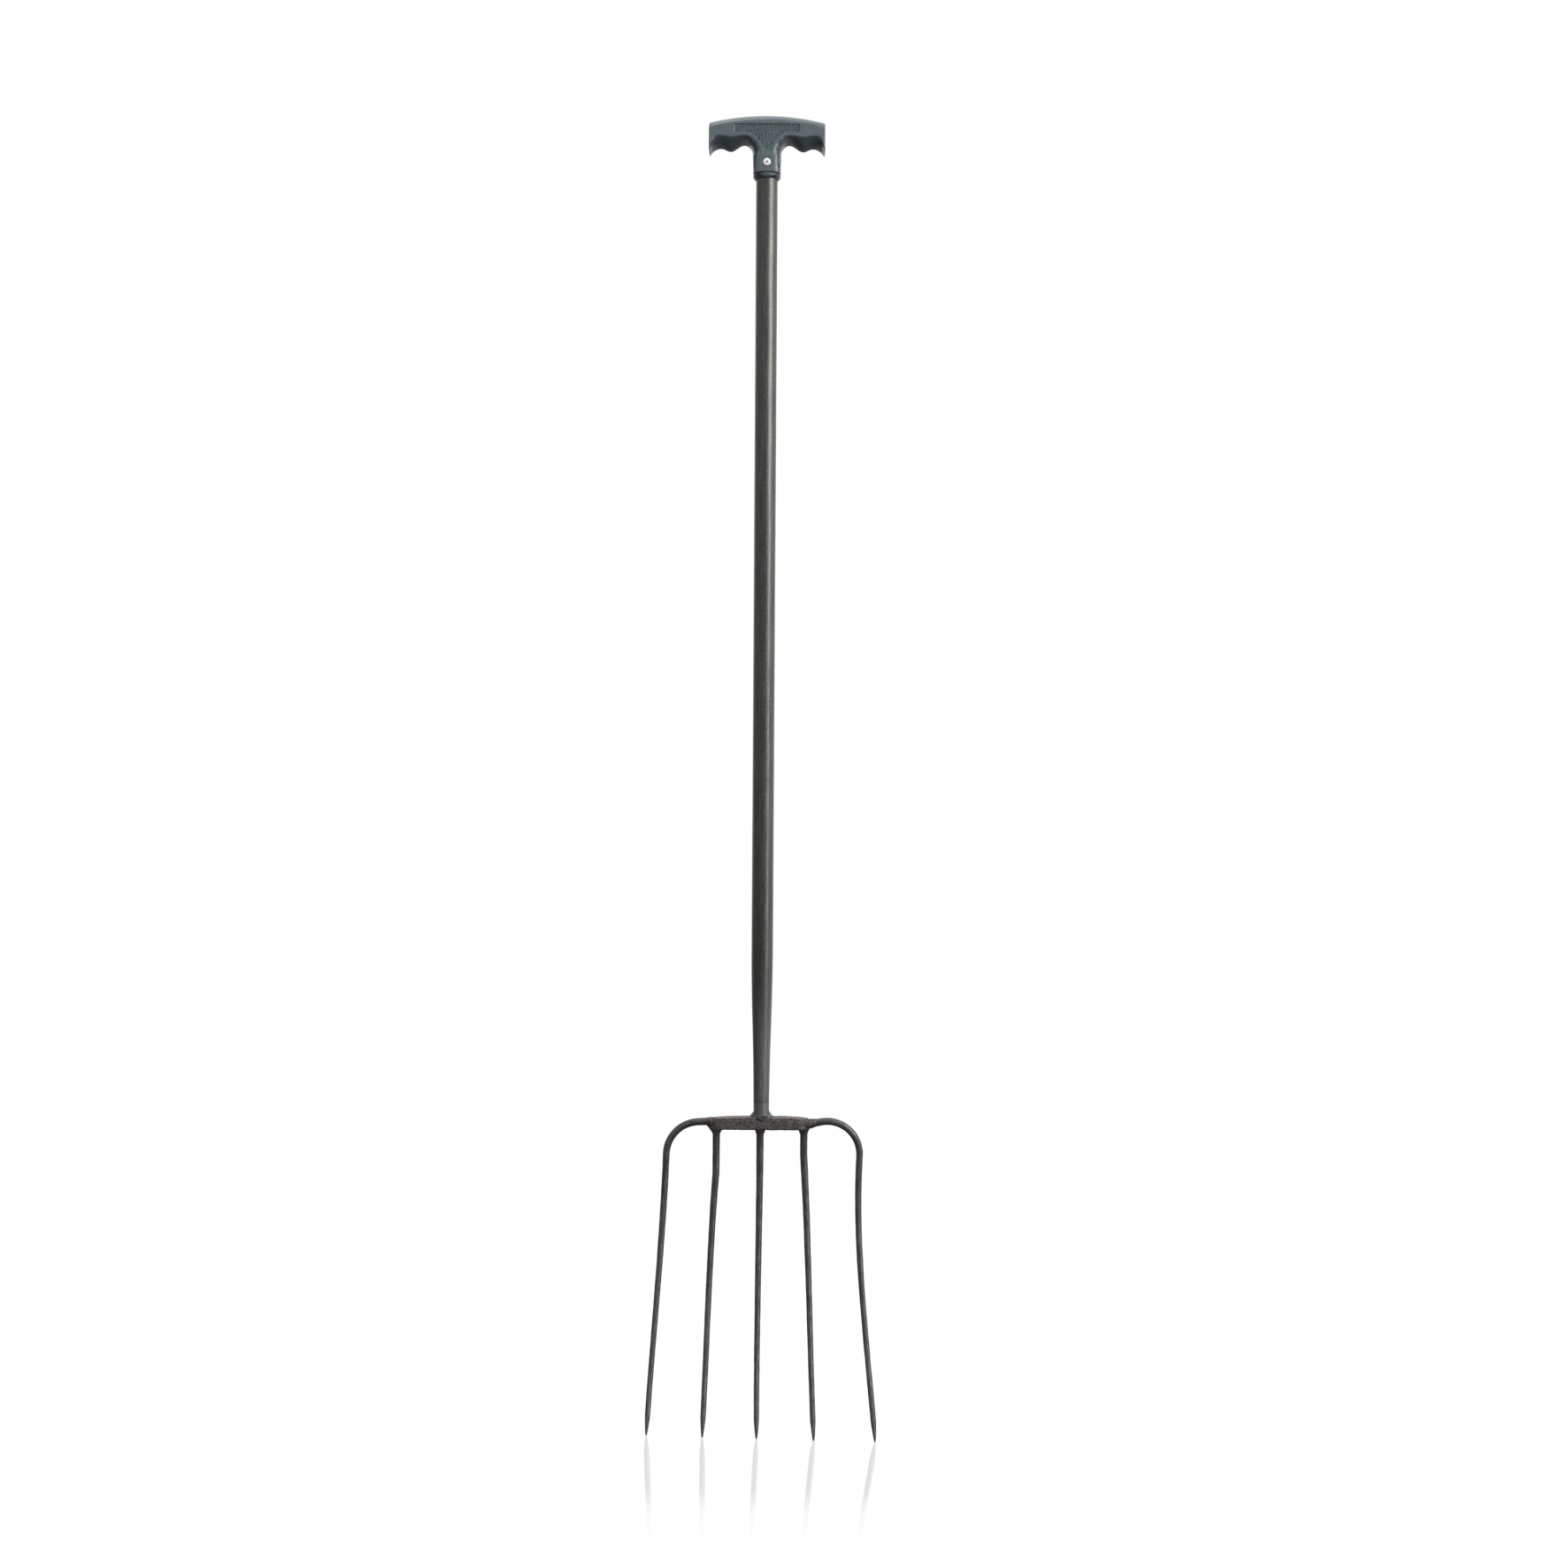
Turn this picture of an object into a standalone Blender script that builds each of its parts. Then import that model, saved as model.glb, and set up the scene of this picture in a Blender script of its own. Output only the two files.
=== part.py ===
"""Five tine manure fork with a moulded T grip, a steel tube shaft and a welded head.

Metres, +Z up. The origin lies on the shaft axis, level with the tops of the two finger
grooves beside the grip's socket, where the fork hangs on a pair of prongs. The front of
the fork, towards which the tines dish, faces -Y. Left and right are seen from the front.
"""

import math

import bmesh
import bpy
import numpy as np

MM = 0.001
CLEARANCE = 0.3 * MM

# Shaft tube, drawn down to a smaller diameter at its foot
TUBE_DIAMETER = 22.0 * MM
TUBE_WALL = 1.5 * MM
TUBE_FOOT_DIAMETER = 16.0 * MM
TUBE_EXPOSED_LENGTH = 956.5 * MM
TUBE_TAPER_LENGTH = 175.0 * MM

# Grip: width, heights above the hanging point, and the section of its arms
GRIP_WIDTH = 118.4 * MM
GRIP_CROWN_HEIGHT = 29.6 * MM
GRIP_CROWN_SAGITTA = 7.3 * MM
GRIP_TOP_ROUND = 9.0 * MM
GRIP_END_ROUND = 1.8 * MM
GRIP_FACE_HEIGHT = 22.8 * MM
GRIP_FACE_SCALLOP = 1.2 * MM

# Socket below the arms, on the tube
SOCKET_DROP = 35.4 * MM
SOCKET_WALL = 2.9 * MM
SOCKET_ROOF = 17.0 * MM
SOCKET_FLARE = 0.45 * MM
SOCKET_FRONT_PAD = 0.5 * MM
SOCKET_SQUARENESS = 2.35
COLLAR_HEIGHT = 5.2 * MM
COLLAR_ROUND = 1.2 * MM
FLUTE_DEPTH = 1.5 * MM
FLUTE_LENGTH = 16.0 * MM
FLUTE_ANGLE = math.radians(55)
FLUTE_SPREAD = math.radians(5)

# Finger grooves: steps outward from the socket's side, and depths below the hanging point
INNER_GROOVE_STEP = 8.2 * MM
RIDGE_STEP = 14.2 * MM
OUTER_GROOVE_STEP = 9.6 * MM
COVE_DROP = 9.5 * MM
COVE_REACH = 8.6 * MM
RIDGE_DROP = 6.4 * MM
OUTER_GROOVE_DROP = 3.5 * MM
LIP_DROP = 9.4 * MM
LIP_CURVE = 2.2

# Fullness of the underside's section: 2 is an ellipse, more is squarer
GROOVE_FULLNESS = 2.0
LIP_FULLNESS = 3.0

# Neck where the flat faces narrow towards the socket, and the recessed panel on them
NECK_HALF_WIDTH = 5.0 * MM
NECK_FLARE = 15.5 * MM
NECK_CURVE = 1.7
PANEL_WIDTH = 67.0 * MM
PANEL_TOP_DROP = 11.2 * MM
PANEL_ARM_HEIGHT = 9.4 * MM
PANEL_FOOT_HALF_WIDTH = 3.8 * MM
PANEL_FLARE = 18.0 * MM
PANEL_RECESS = 0.8 * MM
PANEL_CORNER = 1.2 * MM

# Blind rivet through the front of the socket and of the tube
RIVET_DROP = 20.7 * MM
RIVET_SHANK_DIAMETER = 4.0 * MM
RIVET_FLANGE_DIAMETER = 8.0 * MM
RIVET_FLANGE_HEIGHT = 1.3 * MM
RIVET_RIM_HEIGHT = 0.4 * MM
RIVET_SEAT_RECESS = 0.5 * MM
RIVET_BULB_DIAMETER = 6.0 * MM
RIVET_BULB_LENGTH = 4.2 * MM
MANDREL_DIAMETER = 1.8 * MM
MANDREL_HEAD_DIAMETER = 3.4 * MM
MANDREL_NOSE_DIAMETER = 2.0 * MM
MANDREL_HEAD_LENGTH = 2.2 * MM
MANDREL_SINK = 1.0 * MM

# Crossbar of the head
CROSSBAR_HEIGHT = 13.0 * MM
CROSSBAR_DEPTH = 14.0 * MM
CROSSBAR_END_MARGIN = 1.1 * MM
CROSSBAR_SHOULDER_DROP = 1.4 * MM
CROSSBAR_SHOULDER_RUN = 24.0 * MM
CROSSBAR_EDGE_ROUND = 1.2 * MM

# Tines: thickness, dish and point, shared by all five
TINE_ROOT_DIAMETER = 7.7 * MM
TINE_TIP_DIAMETER = 5.2 * MM
TINE_THINNING = 1.5
TINE_POINT_LENGTH = 20.0 * MM
TINE_POINT_BLUNTNESS = 0.15
TINE_POINT_CURVE = 0.6
TINE_DISH = 60.0 * MM
TINE_DISH_POWER = 1.9

# Roots and tips across the head, and the drop of each tip below the crossbar
LEFT_INNER_ROOT_X = -45.8 * MM
MIDDLE_ROOT_X = -1.1 * MM
RIGHT_INNER_ROOT_X = 43.6 * MM
LEFT_OUTER_TIP_X = -111.8 * MM
LEFT_INNER_TIP_X = -56.2 * MM
MIDDLE_TIP_X = -2.3 * MM
RIGHT_INNER_TIP_X = 54.6 * MM
RIGHT_OUTER_TIP_X = 115.5 * MM
LEFT_OUTER_DROP = 294.9 * MM
LEFT_INNER_DROP = 296.7 * MM
MIDDLE_DROP = 297.7 * MM
RIGHT_INNER_DROP = 299.1 * MM
RIGHT_OUTER_DROP = 299.6 * MM

# Upright stretch at the root of each inner tine, before it splays
LEFT_INNER_STRAIGHT = 44.0 * MM
MIDDLE_STRAIGHT = 40.0 * MM
RIGHT_INNER_STRAIGHT = 26.0 * MM

# Bent shoulders of the two outer tines, each with a short level stub at the crossbar
LEG_STUB = 3 * CLEARANCE
LEFT_LEG_RISE = 1.5 * MM
LEFT_LEG_TILT = math.radians(-2.5)
LEFT_LEG_LENGTH = 13.8 * MM
LEFT_BEND_RADIUS = 33.7 * MM
RIGHT_LEG_RISE = -1.1 * MM
RIGHT_LEG_TILT = math.radians(11.4)
RIGHT_LEG_LENGTH = 12.7 * MM
RIGHT_BEND_RADIUS = 33.2 * MM

# Outward travel per unit of drop where a tine starts to splay, and at its tip
LEFT_OUTER_BEND_SPLAY = 0.032
LEFT_OUTER_TIP_SPLAY = 0.043
LEFT_INNER_ROOT_SPLAY = 0.076
LEFT_INNER_TIP_SPLAY = 0.038
MIDDLE_ROOT_SPLAY = 0.007
MIDDLE_TIP_SPLAY = -0.01
RIGHT_INNER_ROOT_SPLAY = 0.061
RIGHT_INNER_TIP_SPLAY = 0.047
RIGHT_OUTER_BEND_SPLAY = -0.057
RIGHT_OUTER_TIP_SPLAY = 0.078

# Weld beads
SHAFT_WELD_HEIGHT = 6.5 * MM
SHAFT_WELD_SIDE_REACH = 7.0 * MM
SHAFT_WELD_FRONT_REACH = 1.2 * MM
TINE_WELD_HEIGHT = 4.5 * MM
TINE_WELD_REACH = 1.9 * MM
LEFT_LEG_WELD_LENGTH = 5.5 * MM
RIGHT_LEG_WELD_LENGTH = 9.5 * MM
LEG_WELD_REACH = 1.9 * MM
WELD_EDGE_THICKNESS = 0.4 * MM

# Fineness of the meshes
ARM_STEP = 2.2 * MM
SECTION_STEPS = 6
ROUND_SHARES = (1.0, 0.6, 0.3, 0.1, 0.0)
NECK_STEPS = 8
SOCKET_SIDES = 72
SOCKET_STEPS = 5
TUBE_SIDES = 40
TAPER_STEPS = 8
RIVET_SIDES = 24
RIVET_DOME_STEPS = 4
TINE_STEP = 13.0 * MM
BEND_STEPS = 9
TINE_BEVEL_RESOLUTION = 4
POINT_SHARES = (1.0, 0.6, 0.3, 0.1)
WELD_SIDES = 28
WELD_STEPS = 4
MERGE_DISTANCE = 0.01 * MM

# Levels and places that follow from the sizes above
BORE_RADIUS = TUBE_DIAMETER / 2 + CLEARANCE
COLLAR_RADIUS = BORE_RADIUS + SOCKET_WALL
SOCKET_HALF_WIDTH = COLLAR_RADIUS + SOCKET_FLARE
SOCKET_FRONT = COLLAR_RADIUS + SOCKET_FRONT_PAD
SOCKET_BOTTOM = -SOCKET_DROP
COLLAR_TOP = SOCKET_BOTTOM + COLLAR_HEIGHT
GRIP_HALF_WIDTH = GRIP_WIDTH / 2
GRIP_FACE_Y = COLLAR_RADIUS + CLEARANCE
INNER_GROOVE_X = SOCKET_HALF_WIDTH + INNER_GROOVE_STEP
RIDGE_X = INNER_GROOVE_X + RIDGE_STEP
OUTER_GROOVE_X = RIDGE_X + OUTER_GROOVE_STEP
LIP_X = GRIP_HALF_WIDTH - GRIP_END_ROUND
BORE_TOP = GRIP_CROWN_HEIGHT - SOCKET_ROOF
TUBE_TOP = BORE_TOP - CLEARANCE
TUBE_INSIDE_RADIUS = TUBE_DIAMETER / 2 - TUBE_WALL
CROSSBAR_TOP = SOCKET_BOTTOM - TUBE_EXPOSED_LENGTH
CROSSBAR_UNDERSIDE = CROSSBAR_TOP - CROSSBAR_HEIGHT
CROSSBAR_CENTRE = (CROSSBAR_TOP + CROSSBAR_UNDERSIDE) / 2
TINE_ROOT_RADIUS = TINE_ROOT_DIAMETER / 2
CROSSBAR_LEFT = LEFT_INNER_ROOT_X - TINE_ROOT_RADIUS - CROSSBAR_END_MARGIN
CROSSBAR_RIGHT = RIGHT_INNER_ROOT_X + TINE_ROOT_RADIUS + CROSSBAR_END_MARGIN
TUBE_BOTTOM = CROSSBAR_TOP + CLEARANCE
RIVET_HOLE_RADIUS = RIVET_SHANK_DIAMETER / 2 + CLEARANCE
RIVET_SEAT_Y = RIVET_SEAT_RECESS - SOCKET_FRONT


def clear_scene():
    for obj in list(bpy.data.objects):
        bpy.data.objects.remove(obj, do_unlink=True)


def make_collection(name):
    collection = bpy.data.collections.new(name)
    bpy.context.scene.collection.children.link(collection)
    return collection


def make_material(name, colour, roughness, metallic):
    material = bpy.data.materials.new(name)
    material.use_nodes = True
    shader = material.node_tree.nodes["Principled BSDF"]
    shader.inputs["Base Color"].default_value = (*colour, 1.0)
    shader.inputs["Roughness"].default_value = roughness
    shader.inputs["Metallic"].default_value = metallic
    return material


def make_object(name, data, location, parent, collection, material=None):
    obj = bpy.data.objects.new(name, data)
    obj.location = location
    obj.parent = parent
    if material:
        data.materials.append(material)
    collection.objects.link(obj)
    return obj


def make_helper(name, mesh, location, parent, collection):
    """A shape that cuts or joins another, and is no piece of the fork."""
    helper = make_object(name, mesh, location, parent, collection)
    helper.hide_render = True
    helper.display_type = "WIRE"
    return helper


def finish_mesh(name, bm):
    """Turns a bmesh into mesh data, shaded smooth except across its sharp edges."""
    bmesh.ops.recalc_face_normals(bm, faces=bm.faces)
    mesh = bpy.data.meshes.new(name)
    bm.to_mesh(mesh)
    bm.free()
    mesh.shade_smooth()
    mesh.set_sharp_from_angle(angle=math.radians(35))
    return mesh


def loft(name, rings, ring_shaped=False):
    """Joins equal rings of points in turn, then closes the ends, or joins last to first."""
    bm = bmesh.new()
    verts = [[bm.verts.new(point) for point in ring] for ring in rings]
    count = len(rings[0])
    pairs = list(zip(verts, verts[1:]))
    if ring_shaped:
        pairs.append((verts[-1], verts[0]))
    else:
        bm.faces.new(verts[0])
        bm.faces.new(reversed(verts[-1]))
    for lower, upper in pairs:
        for i in range(count):
            j = (i + 1) % count
            bm.faces.new((lower[j], lower[i], upper[i], upper[j]))
    return finish_mesh(name, bm)


def cylinder(name, radius, length, sides):
    """A closed cylinder along Z, centred on its origin."""
    bm = bmesh.new()
    bmesh.ops.create_cone(
        bm,
        cap_ends=True,
        segments=sides,
        radius1=radius,
        radius2=radius,
        depth=length,
    )
    return finish_mesh(name, bm)


def profile_mesh(name, profile, closed):
    """A line of (radius, height) points in the XZ plane, to be turned about Z."""
    bm = bmesh.new()
    verts = [bm.verts.new((radius, 0.0, height)) for radius, height in profile]
    for first, second in zip(verts, verts[1:]):
        bm.edges.new((first, second))
    if closed:
        bm.edges.new((verts[-1], verts[0]))
    mesh = bpy.data.meshes.new(name)
    bm.to_mesh(mesh)
    bm.free()
    return mesh


def turn(obj, sides):
    screw = obj.modifiers.new("turn", "SCREW")
    screw.angle = 2 * math.pi
    screw.steps = sides
    screw.render_steps = sides
    screw.use_merge_vertices = True
    screw.merge_threshold = MERGE_DISTANCE
    screw.use_smooth_shade = True


def combine(obj, helper, operation="DIFFERENCE"):
    boolean = obj.modifiers.new(helper.name, "BOOLEAN")
    boolean.operation = operation
    boolean.object = helper


def blend(start, end, share):
    """Goes from start to end as share goes from 0 to 1, level at both ends."""
    return start + (end - start) * (1 - math.cos(math.pi * share)) / 2


def hermite(start, end, start_slope, end_slope, share):
    """Cubic from start to end, with the given slopes per unit of share."""
    squared, cubed = share**2, share**3
    return (
        start * (2 * cubed - 3 * squared + 1)
        + start_slope * (cubed - 2 * squared + share)
        + end * (3 * squared - 2 * cubed)
        + end_slope * (cubed - squared)
    )


def crown_level(x):
    """Top of the grip: a shallow arch over its width."""
    return GRIP_CROWN_HEIGHT - GRIP_CROWN_SAGITTA * (x / GRIP_HALF_WIDTH) ** 2


def groove_level(x):
    """Lowest line of the grip's underside: a cove, two finger grooves, and the end lip."""
    x = abs(x)
    if x <= INNER_GROOVE_X - COVE_REACH:
        return -COVE_DROP
    if x <= INNER_GROOVE_X:
        share = (INNER_GROOVE_X - x) / COVE_REACH
        return COVE_DROP * (math.sqrt(1 - share**2) - 1)
    if x <= RIDGE_X:
        return blend(0.0, -RIDGE_DROP, (x - INNER_GROOVE_X) / RIDGE_STEP)
    if x <= OUTER_GROOVE_X:
        return blend(-RIDGE_DROP, -OUTER_GROOVE_DROP, (x - RIDGE_X) / OUTER_GROOVE_STEP)
    share = min(1.0, (x - OUTER_GROOVE_X) / (LIP_X - OUTER_GROOVE_X))
    return -OUTER_GROOVE_DROP - (LIP_DROP - OUTER_GROOVE_DROP) * share**LIP_CURVE


def face_level(x):
    """Lower edge of the flat faces, which also run down the neck."""
    x = abs(x)
    level = GRIP_CROWN_HEIGHT - GRIP_FACE_HEIGHT
    if x <= NECK_HALF_WIDTH:
        return -COVE_DROP
    if x <= NECK_HALF_WIDTH + NECK_FLARE:
        share = 1 - (x - NECK_HALF_WIDTH) / NECK_FLARE
        rise = (1 - share**NECK_CURVE) ** (1 / NECK_CURVE)
        return -COVE_DROP + (level + COVE_DROP) * rise
    spread = 2 * (x - RIDGE_X) / RIDGE_STEP
    end_spread = 2 * (x - LIP_X) / OUTER_GROOVE_STEP
    return level - GRIP_FACE_SCALLOP * (math.exp(-(spread**2)) + math.exp(-(end_spread**2)))


def underside_fullness(x):
    """How square the underside's section is: an ellipse, but fuller at the end lips."""
    share = min(1.0, max(0.0, (abs(x) - OUTER_GROOVE_X) / (LIP_X - OUTER_GROOVE_X)))
    return blend(GROOVE_FULLNESS, LIP_FULLNESS, share)


def arm_section(x):
    """Ring round the grip's arms at x: rounded top, flat faces and rounded underside."""
    from_end = GRIP_HALF_WIDTH - abs(x)
    corner = max(0.0, GRIP_END_ROUND - from_end)
    inset = GRIP_END_ROUND - math.sqrt(GRIP_END_ROUND**2 - corner**2)
    depth = GRIP_FACE_Y - inset
    top = crown_level(x) - inset
    bottom = groove_level(x) + inset
    face = max(face_level(x), bottom) + CLEARANCE
    angles = [math.pi / 2 * i / SECTION_STEPS for i in range(SECTION_STEPS + 1)]
    power = 2 / underside_fullness(x)
    upper = [(-depth * math.sin(a), top - GRIP_TOP_ROUND * (1 - math.cos(a))) for a in angles]
    turns = [(max(0.0, math.cos(a)) ** power, math.sin(a) ** power) for a in angles]
    lower = [(-depth * out, face - (face - bottom) * down) for out, down in turns]
    front = upper + lower
    back = [(-y, z) for y, z in reversed(front[1:-1])]
    return [(x, y, z) for y, z in front + back]


def arm_stations():
    """Places of the sections along the grip, closer at the neck and at the ends."""
    neck = [NECK_HALF_WIDTH + NECK_FLARE * (i / NECK_STEPS) ** 2 for i in range(NECK_STEPS)]
    end = [GRIP_HALF_WIDTH - GRIP_END_ROUND * share for share in ROUND_SHARES]
    run_start, run_end = NECK_HALF_WIDTH + NECK_FLARE, end[0]
    count = round((run_end - run_start) / ARM_STEP)
    run = list(np.linspace(run_start, run_end, count + 1)[:-1])
    half = neck + run + end
    return [-x for x in reversed(half)] + [0.0] + half


def make_arms(parent, collection, material):
    mesh = loft("t_grip", [arm_section(x) for x in arm_stations()])
    return make_object("t_grip", mesh, (0, 0, 0), parent, collection, material)


def socket_radius(angle, z):
    """Radius at an angle from the front: round collar, then squarish and fluted above."""
    if z <= COLLAR_TOP:
        corner = max(0.0, COLLAR_ROUND - (z - SOCKET_BOTTOM))
        return COLLAR_RADIUS - COLLAR_ROUND + math.sqrt(COLLAR_ROUND**2 - corner**2)
    rise = min(1.0, (z - COLLAR_TOP) / (-COVE_DROP - COLLAR_TOP))
    half_width = COLLAR_RADIUS + SOCKET_FLARE * rise
    depth = SOCKET_FRONT - SOCKET_WALL * max(0.0, 1 + z / COVE_DROP)
    across = abs(math.sin(angle)) / half_width
    along = abs(math.cos(angle)) / depth
    power = SOCKET_SQUARENESS
    radius = (across**power + along**power) ** (-1 / power)
    share = min(1.0, max(0.0, 1 + (z + COVE_DROP) / FLUTE_LENGTH))
    from_face = min(abs(angle), math.pi - abs(angle))
    spread = (from_face - FLUTE_ANGLE) / FLUTE_SPREAD
    return radius - FLUTE_DEPTH * share * math.exp(-(spread**2))


def make_socket(parent, collection):
    """The socket's outer form, joined to the arms: it ends inside them."""
    collar = [SOCKET_BOTTOM + COLLAR_ROUND * share for share in reversed(ROUND_SHARES)]
    sides = list(np.linspace(COLLAR_TOP + CLEARANCE, -COVE_DROP, SOCKET_STEPS + 1))
    stations = collar + [COLLAR_TOP] + sides + [-COVE_DROP / 2, 0.0]
    angles = [2 * math.pi * i / SOCKET_SIDES - math.pi for i in range(SOCKET_SIDES)]
    rings = []
    for z in stations:
        radii = [socket_radius(angle, z) for angle in angles]
        rings.append([(r * math.sin(a), -r * math.cos(a), z) for r, a in zip(radii, angles)])
    return make_helper("socket_form", loft("socket_form", rings), (0, 0, 0), parent, collection)


def panel_outline():
    """Outline of the recessed panel: a bar that narrows in two coves down to the socket."""
    top = GRIP_CROWN_HEIGHT - PANEL_TOP_DROP
    half = PANEL_WIDTH / 2
    arm_bottom = top - PANEL_ARM_HEIGHT
    right = [(half - PANEL_CORNER, top), (half, top - PANEL_CORNER)]
    right += [(half, arm_bottom + PANEL_CORNER), (half - PANEL_CORNER, arm_bottom)]
    for i in range(NECK_STEPS + 1):
        share = i / NECK_STEPS
        rise = (1 - share**NECK_CURVE) ** (1 / NECK_CURVE)
        x = PANEL_FOOT_HALF_WIDTH + PANEL_FLARE * (1 - share)
        right.append((x, -COVE_DROP + (arm_bottom + COVE_DROP) * rise))
    left = [(-x, z) for x, z in reversed(right)]
    return right + left


def make_panel_cutter(name, side, parent, collection):
    """Sinks the panel into the front, where side is -1, or into the back."""
    floor = side * (GRIP_FACE_Y - PANEL_RECESS)
    outside = side * 2 * SOCKET_FRONT
    rings = [[(x, y, z) for x, z in panel_outline()] for y in (floor, outside)]
    return make_helper(name, loft(name, rings), (0, 0, 0), parent, collection)


def make_cross_cutter(name, radius, near, far, parent, collection):
    """A round cutter along Y at the rivet's level, from near to far."""
    mesh = cylinder(name, radius, far - near, RIVET_SIDES)
    cutter = make_helper(name, mesh, (0, (near + far) / 2, -RIVET_DROP), parent, collection)
    cutter.rotation_euler.x = math.pi / 2
    return cutter


def make_grip(parent, collection, cutters, rivet_hole, material):
    """One moulding: arms and socket joined, then sunk panels, bore and rivet seat."""
    grip = make_arms(parent, collection, material)
    combine(grip, make_socket(parent, cutters), "UNION")
    combine(grip, make_panel_cutter("front_panel_cutter", -1, parent, cutters))
    combine(grip, make_panel_cutter("back_panel_cutter", 1, parent, cutters))
    length = 2 * (BORE_TOP - SOCKET_BOTTOM)
    mesh = cylinder("bore_cutter", BORE_RADIUS, length, TUBE_SIDES)
    location = (0, 0, BORE_TOP - length / 2)
    combine(grip, make_helper("bore_cutter", mesh, location, parent, cutters))
    seat_radius = RIVET_FLANGE_DIAMETER / 2 + CLEARANCE
    outside = -2 * SOCKET_FRONT
    seat = make_cross_cutter(
        "rivet_seat_cutter", seat_radius, outside, RIVET_SEAT_Y, parent, cutters
    )
    combine(grip, seat)
    combine(grip, rivet_hole)
    return grip


def tube_radius(z):
    """Outside radius of the tube: parallel, then drawn down smoothly to its foot."""
    share = min(1.0, max(0.0, 1 - (z - TUBE_BOTTOM) / TUBE_TAPER_LENGTH))
    return blend(TUBE_DIAMETER, TUBE_FOOT_DIAMETER, share) / 2


def make_tube(parent, collection, rivet_hole, material):
    taper = [TUBE_BOTTOM + TUBE_TAPER_LENGTH * i / TAPER_STEPS for i in range(TAPER_STEPS + 1)]
    outside = [(tube_radius(z), z) for z in [TUBE_TOP, *reversed(taper)]]
    inside = [(radius - TUBE_WALL, z) for radius, z in reversed(outside)]
    mesh = profile_mesh("shaft_tube", outside + inside, closed=True)
    tube = make_object("shaft_tube", mesh, (0, 0, 0), parent, collection, material)
    turn(tube, TUBE_SIDES)
    combine(tube, rivet_hole)
    return tube


def rivet_grip_length():
    """From the seat of the rivet's flange to its bulb, clear of the tube's curved wall."""
    wall_y = math.sqrt(TUBE_INSIDE_RADIUS**2 - (RIVET_BULB_DIAMETER / 2) ** 2)
    return -RIVET_SEAT_Y - wall_y + 2 * CLEARANCE


def make_rivet(parent, collection, shell_material, mandrel_material):
    """A blind rivet, set from the front: its hollow shell, and the mandrel stub in it."""
    bore = MANDREL_DIAMETER / 2 + CLEARANCE
    shank = RIVET_SHANK_DIAMETER / 2
    flange = RIVET_FLANGE_DIAMETER / 2
    bulb = RIVET_BULB_DIAMETER / 2
    bulb_top = -rivet_grip_length()
    bulb_bottom = bulb_top - RIVET_BULB_LENGTH
    height = RIVET_FLANGE_HEIGHT
    rim = RIVET_RIM_HEIGHT
    turns = [math.pi / 2 * i / RIVET_DOME_STEPS for i in range(1, RIVET_DOME_STEPS + 1)]
    dome = [(bore + (flange - bore) * math.sin(a), rim + (height - rim) * math.cos(a)) for a in turns]
    shell = [
        (bore, height),
        *dome,
        (flange, 0.0),
        (shank, 0.0),
        (shank, bulb_top),
        (bulb, bulb_top - (bulb - shank) / 2),
        (bulb, bulb_bottom + (bulb - shank)),
        (shank, bulb_bottom),
        (bore, bulb_bottom),
    ]
    head_top = bulb_bottom - CLEARANCE
    head = MANDREL_HEAD_DIAMETER / 2
    nose = MANDREL_NOSE_DIAMETER / 2
    head_bottom = head_top - MANDREL_HEAD_LENGTH
    stem = MANDREL_DIAMETER / 2
    mandrel = [
        (0.0, height - MANDREL_SINK),
        (stem, height - MANDREL_SINK),
        (stem, head_top),
        (head, head_top),
        (head, head_bottom + (head - nose)),
        (nose, head_bottom),
        (0.0, head_bottom),
    ]
    seat = (0, RIVET_SEAT_Y - CLEARANCE, -RIVET_DROP)
    pieces = (
        ("grip_rivet", shell, True, shell_material),
        ("rivet_mandrel", mandrel, False, mandrel_material),
    )
    for name, profile, closed, material in pieces:
        mesh = profile_mesh(name, profile, closed)
        piece = make_object(name, mesh, seat, parent, collection, material)
        piece.rotation_euler.x = math.pi / 2
        turn(piece, RIVET_SIDES)


def make_crossbar(parent, collection, material):
    """A box, cut across twice, with its upper end corners lowered to sloping shoulders."""
    width = CROSSBAR_RIGHT - CROSSBAR_LEFT
    centre = (CROSSBAR_LEFT + CROSSBAR_RIGHT) / 2
    bm = bmesh.new()
    bmesh.ops.create_cube(bm, size=1.0)
    bmesh.ops.scale(bm, vec=(width, CROSSBAR_DEPTH, CROSSBAR_HEIGHT), verts=bm.verts)
    bmesh.ops.translate(bm, vec=(centre, 0, 0), verts=bm.verts)
    from_centre = width / 2 - CROSSBAR_SHOULDER_RUN
    for x in (centre - from_centre, centre + from_centre):
        geometry = bm.verts[:] + bm.edges[:] + bm.faces[:]
        bmesh.ops.bisect_plane(bm, geom=geometry, plane_co=(x, 0, 0), plane_no=(1, 0, 0))
    for vert in bm.verts:
        if vert.co.z > 0 and abs(vert.co.x - centre) > from_centre + MERGE_DISTANCE:
            vert.co.z -= CROSSBAR_SHOULDER_DROP
    mesh = finish_mesh("crossbar", bm)
    crossbar = make_object("crossbar", mesh, (0, 0, 0), parent, collection, material)
    bevel = crossbar.modifiers.new("bevel", "BEVEL")
    bevel.width = CROSSBAR_EDGE_ROUND
    bevel.segments = 3
    bevel.limit_method = "ANGLE"
    bevel.angle_limit = math.radians(30)


def dish(drop):
    """How far forward a tine has come at a drop below the crossbar's underside."""
    return -TINE_DISH * max(0.0, drop / MIDDLE_DROP) ** TINE_DISH_POWER


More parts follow.
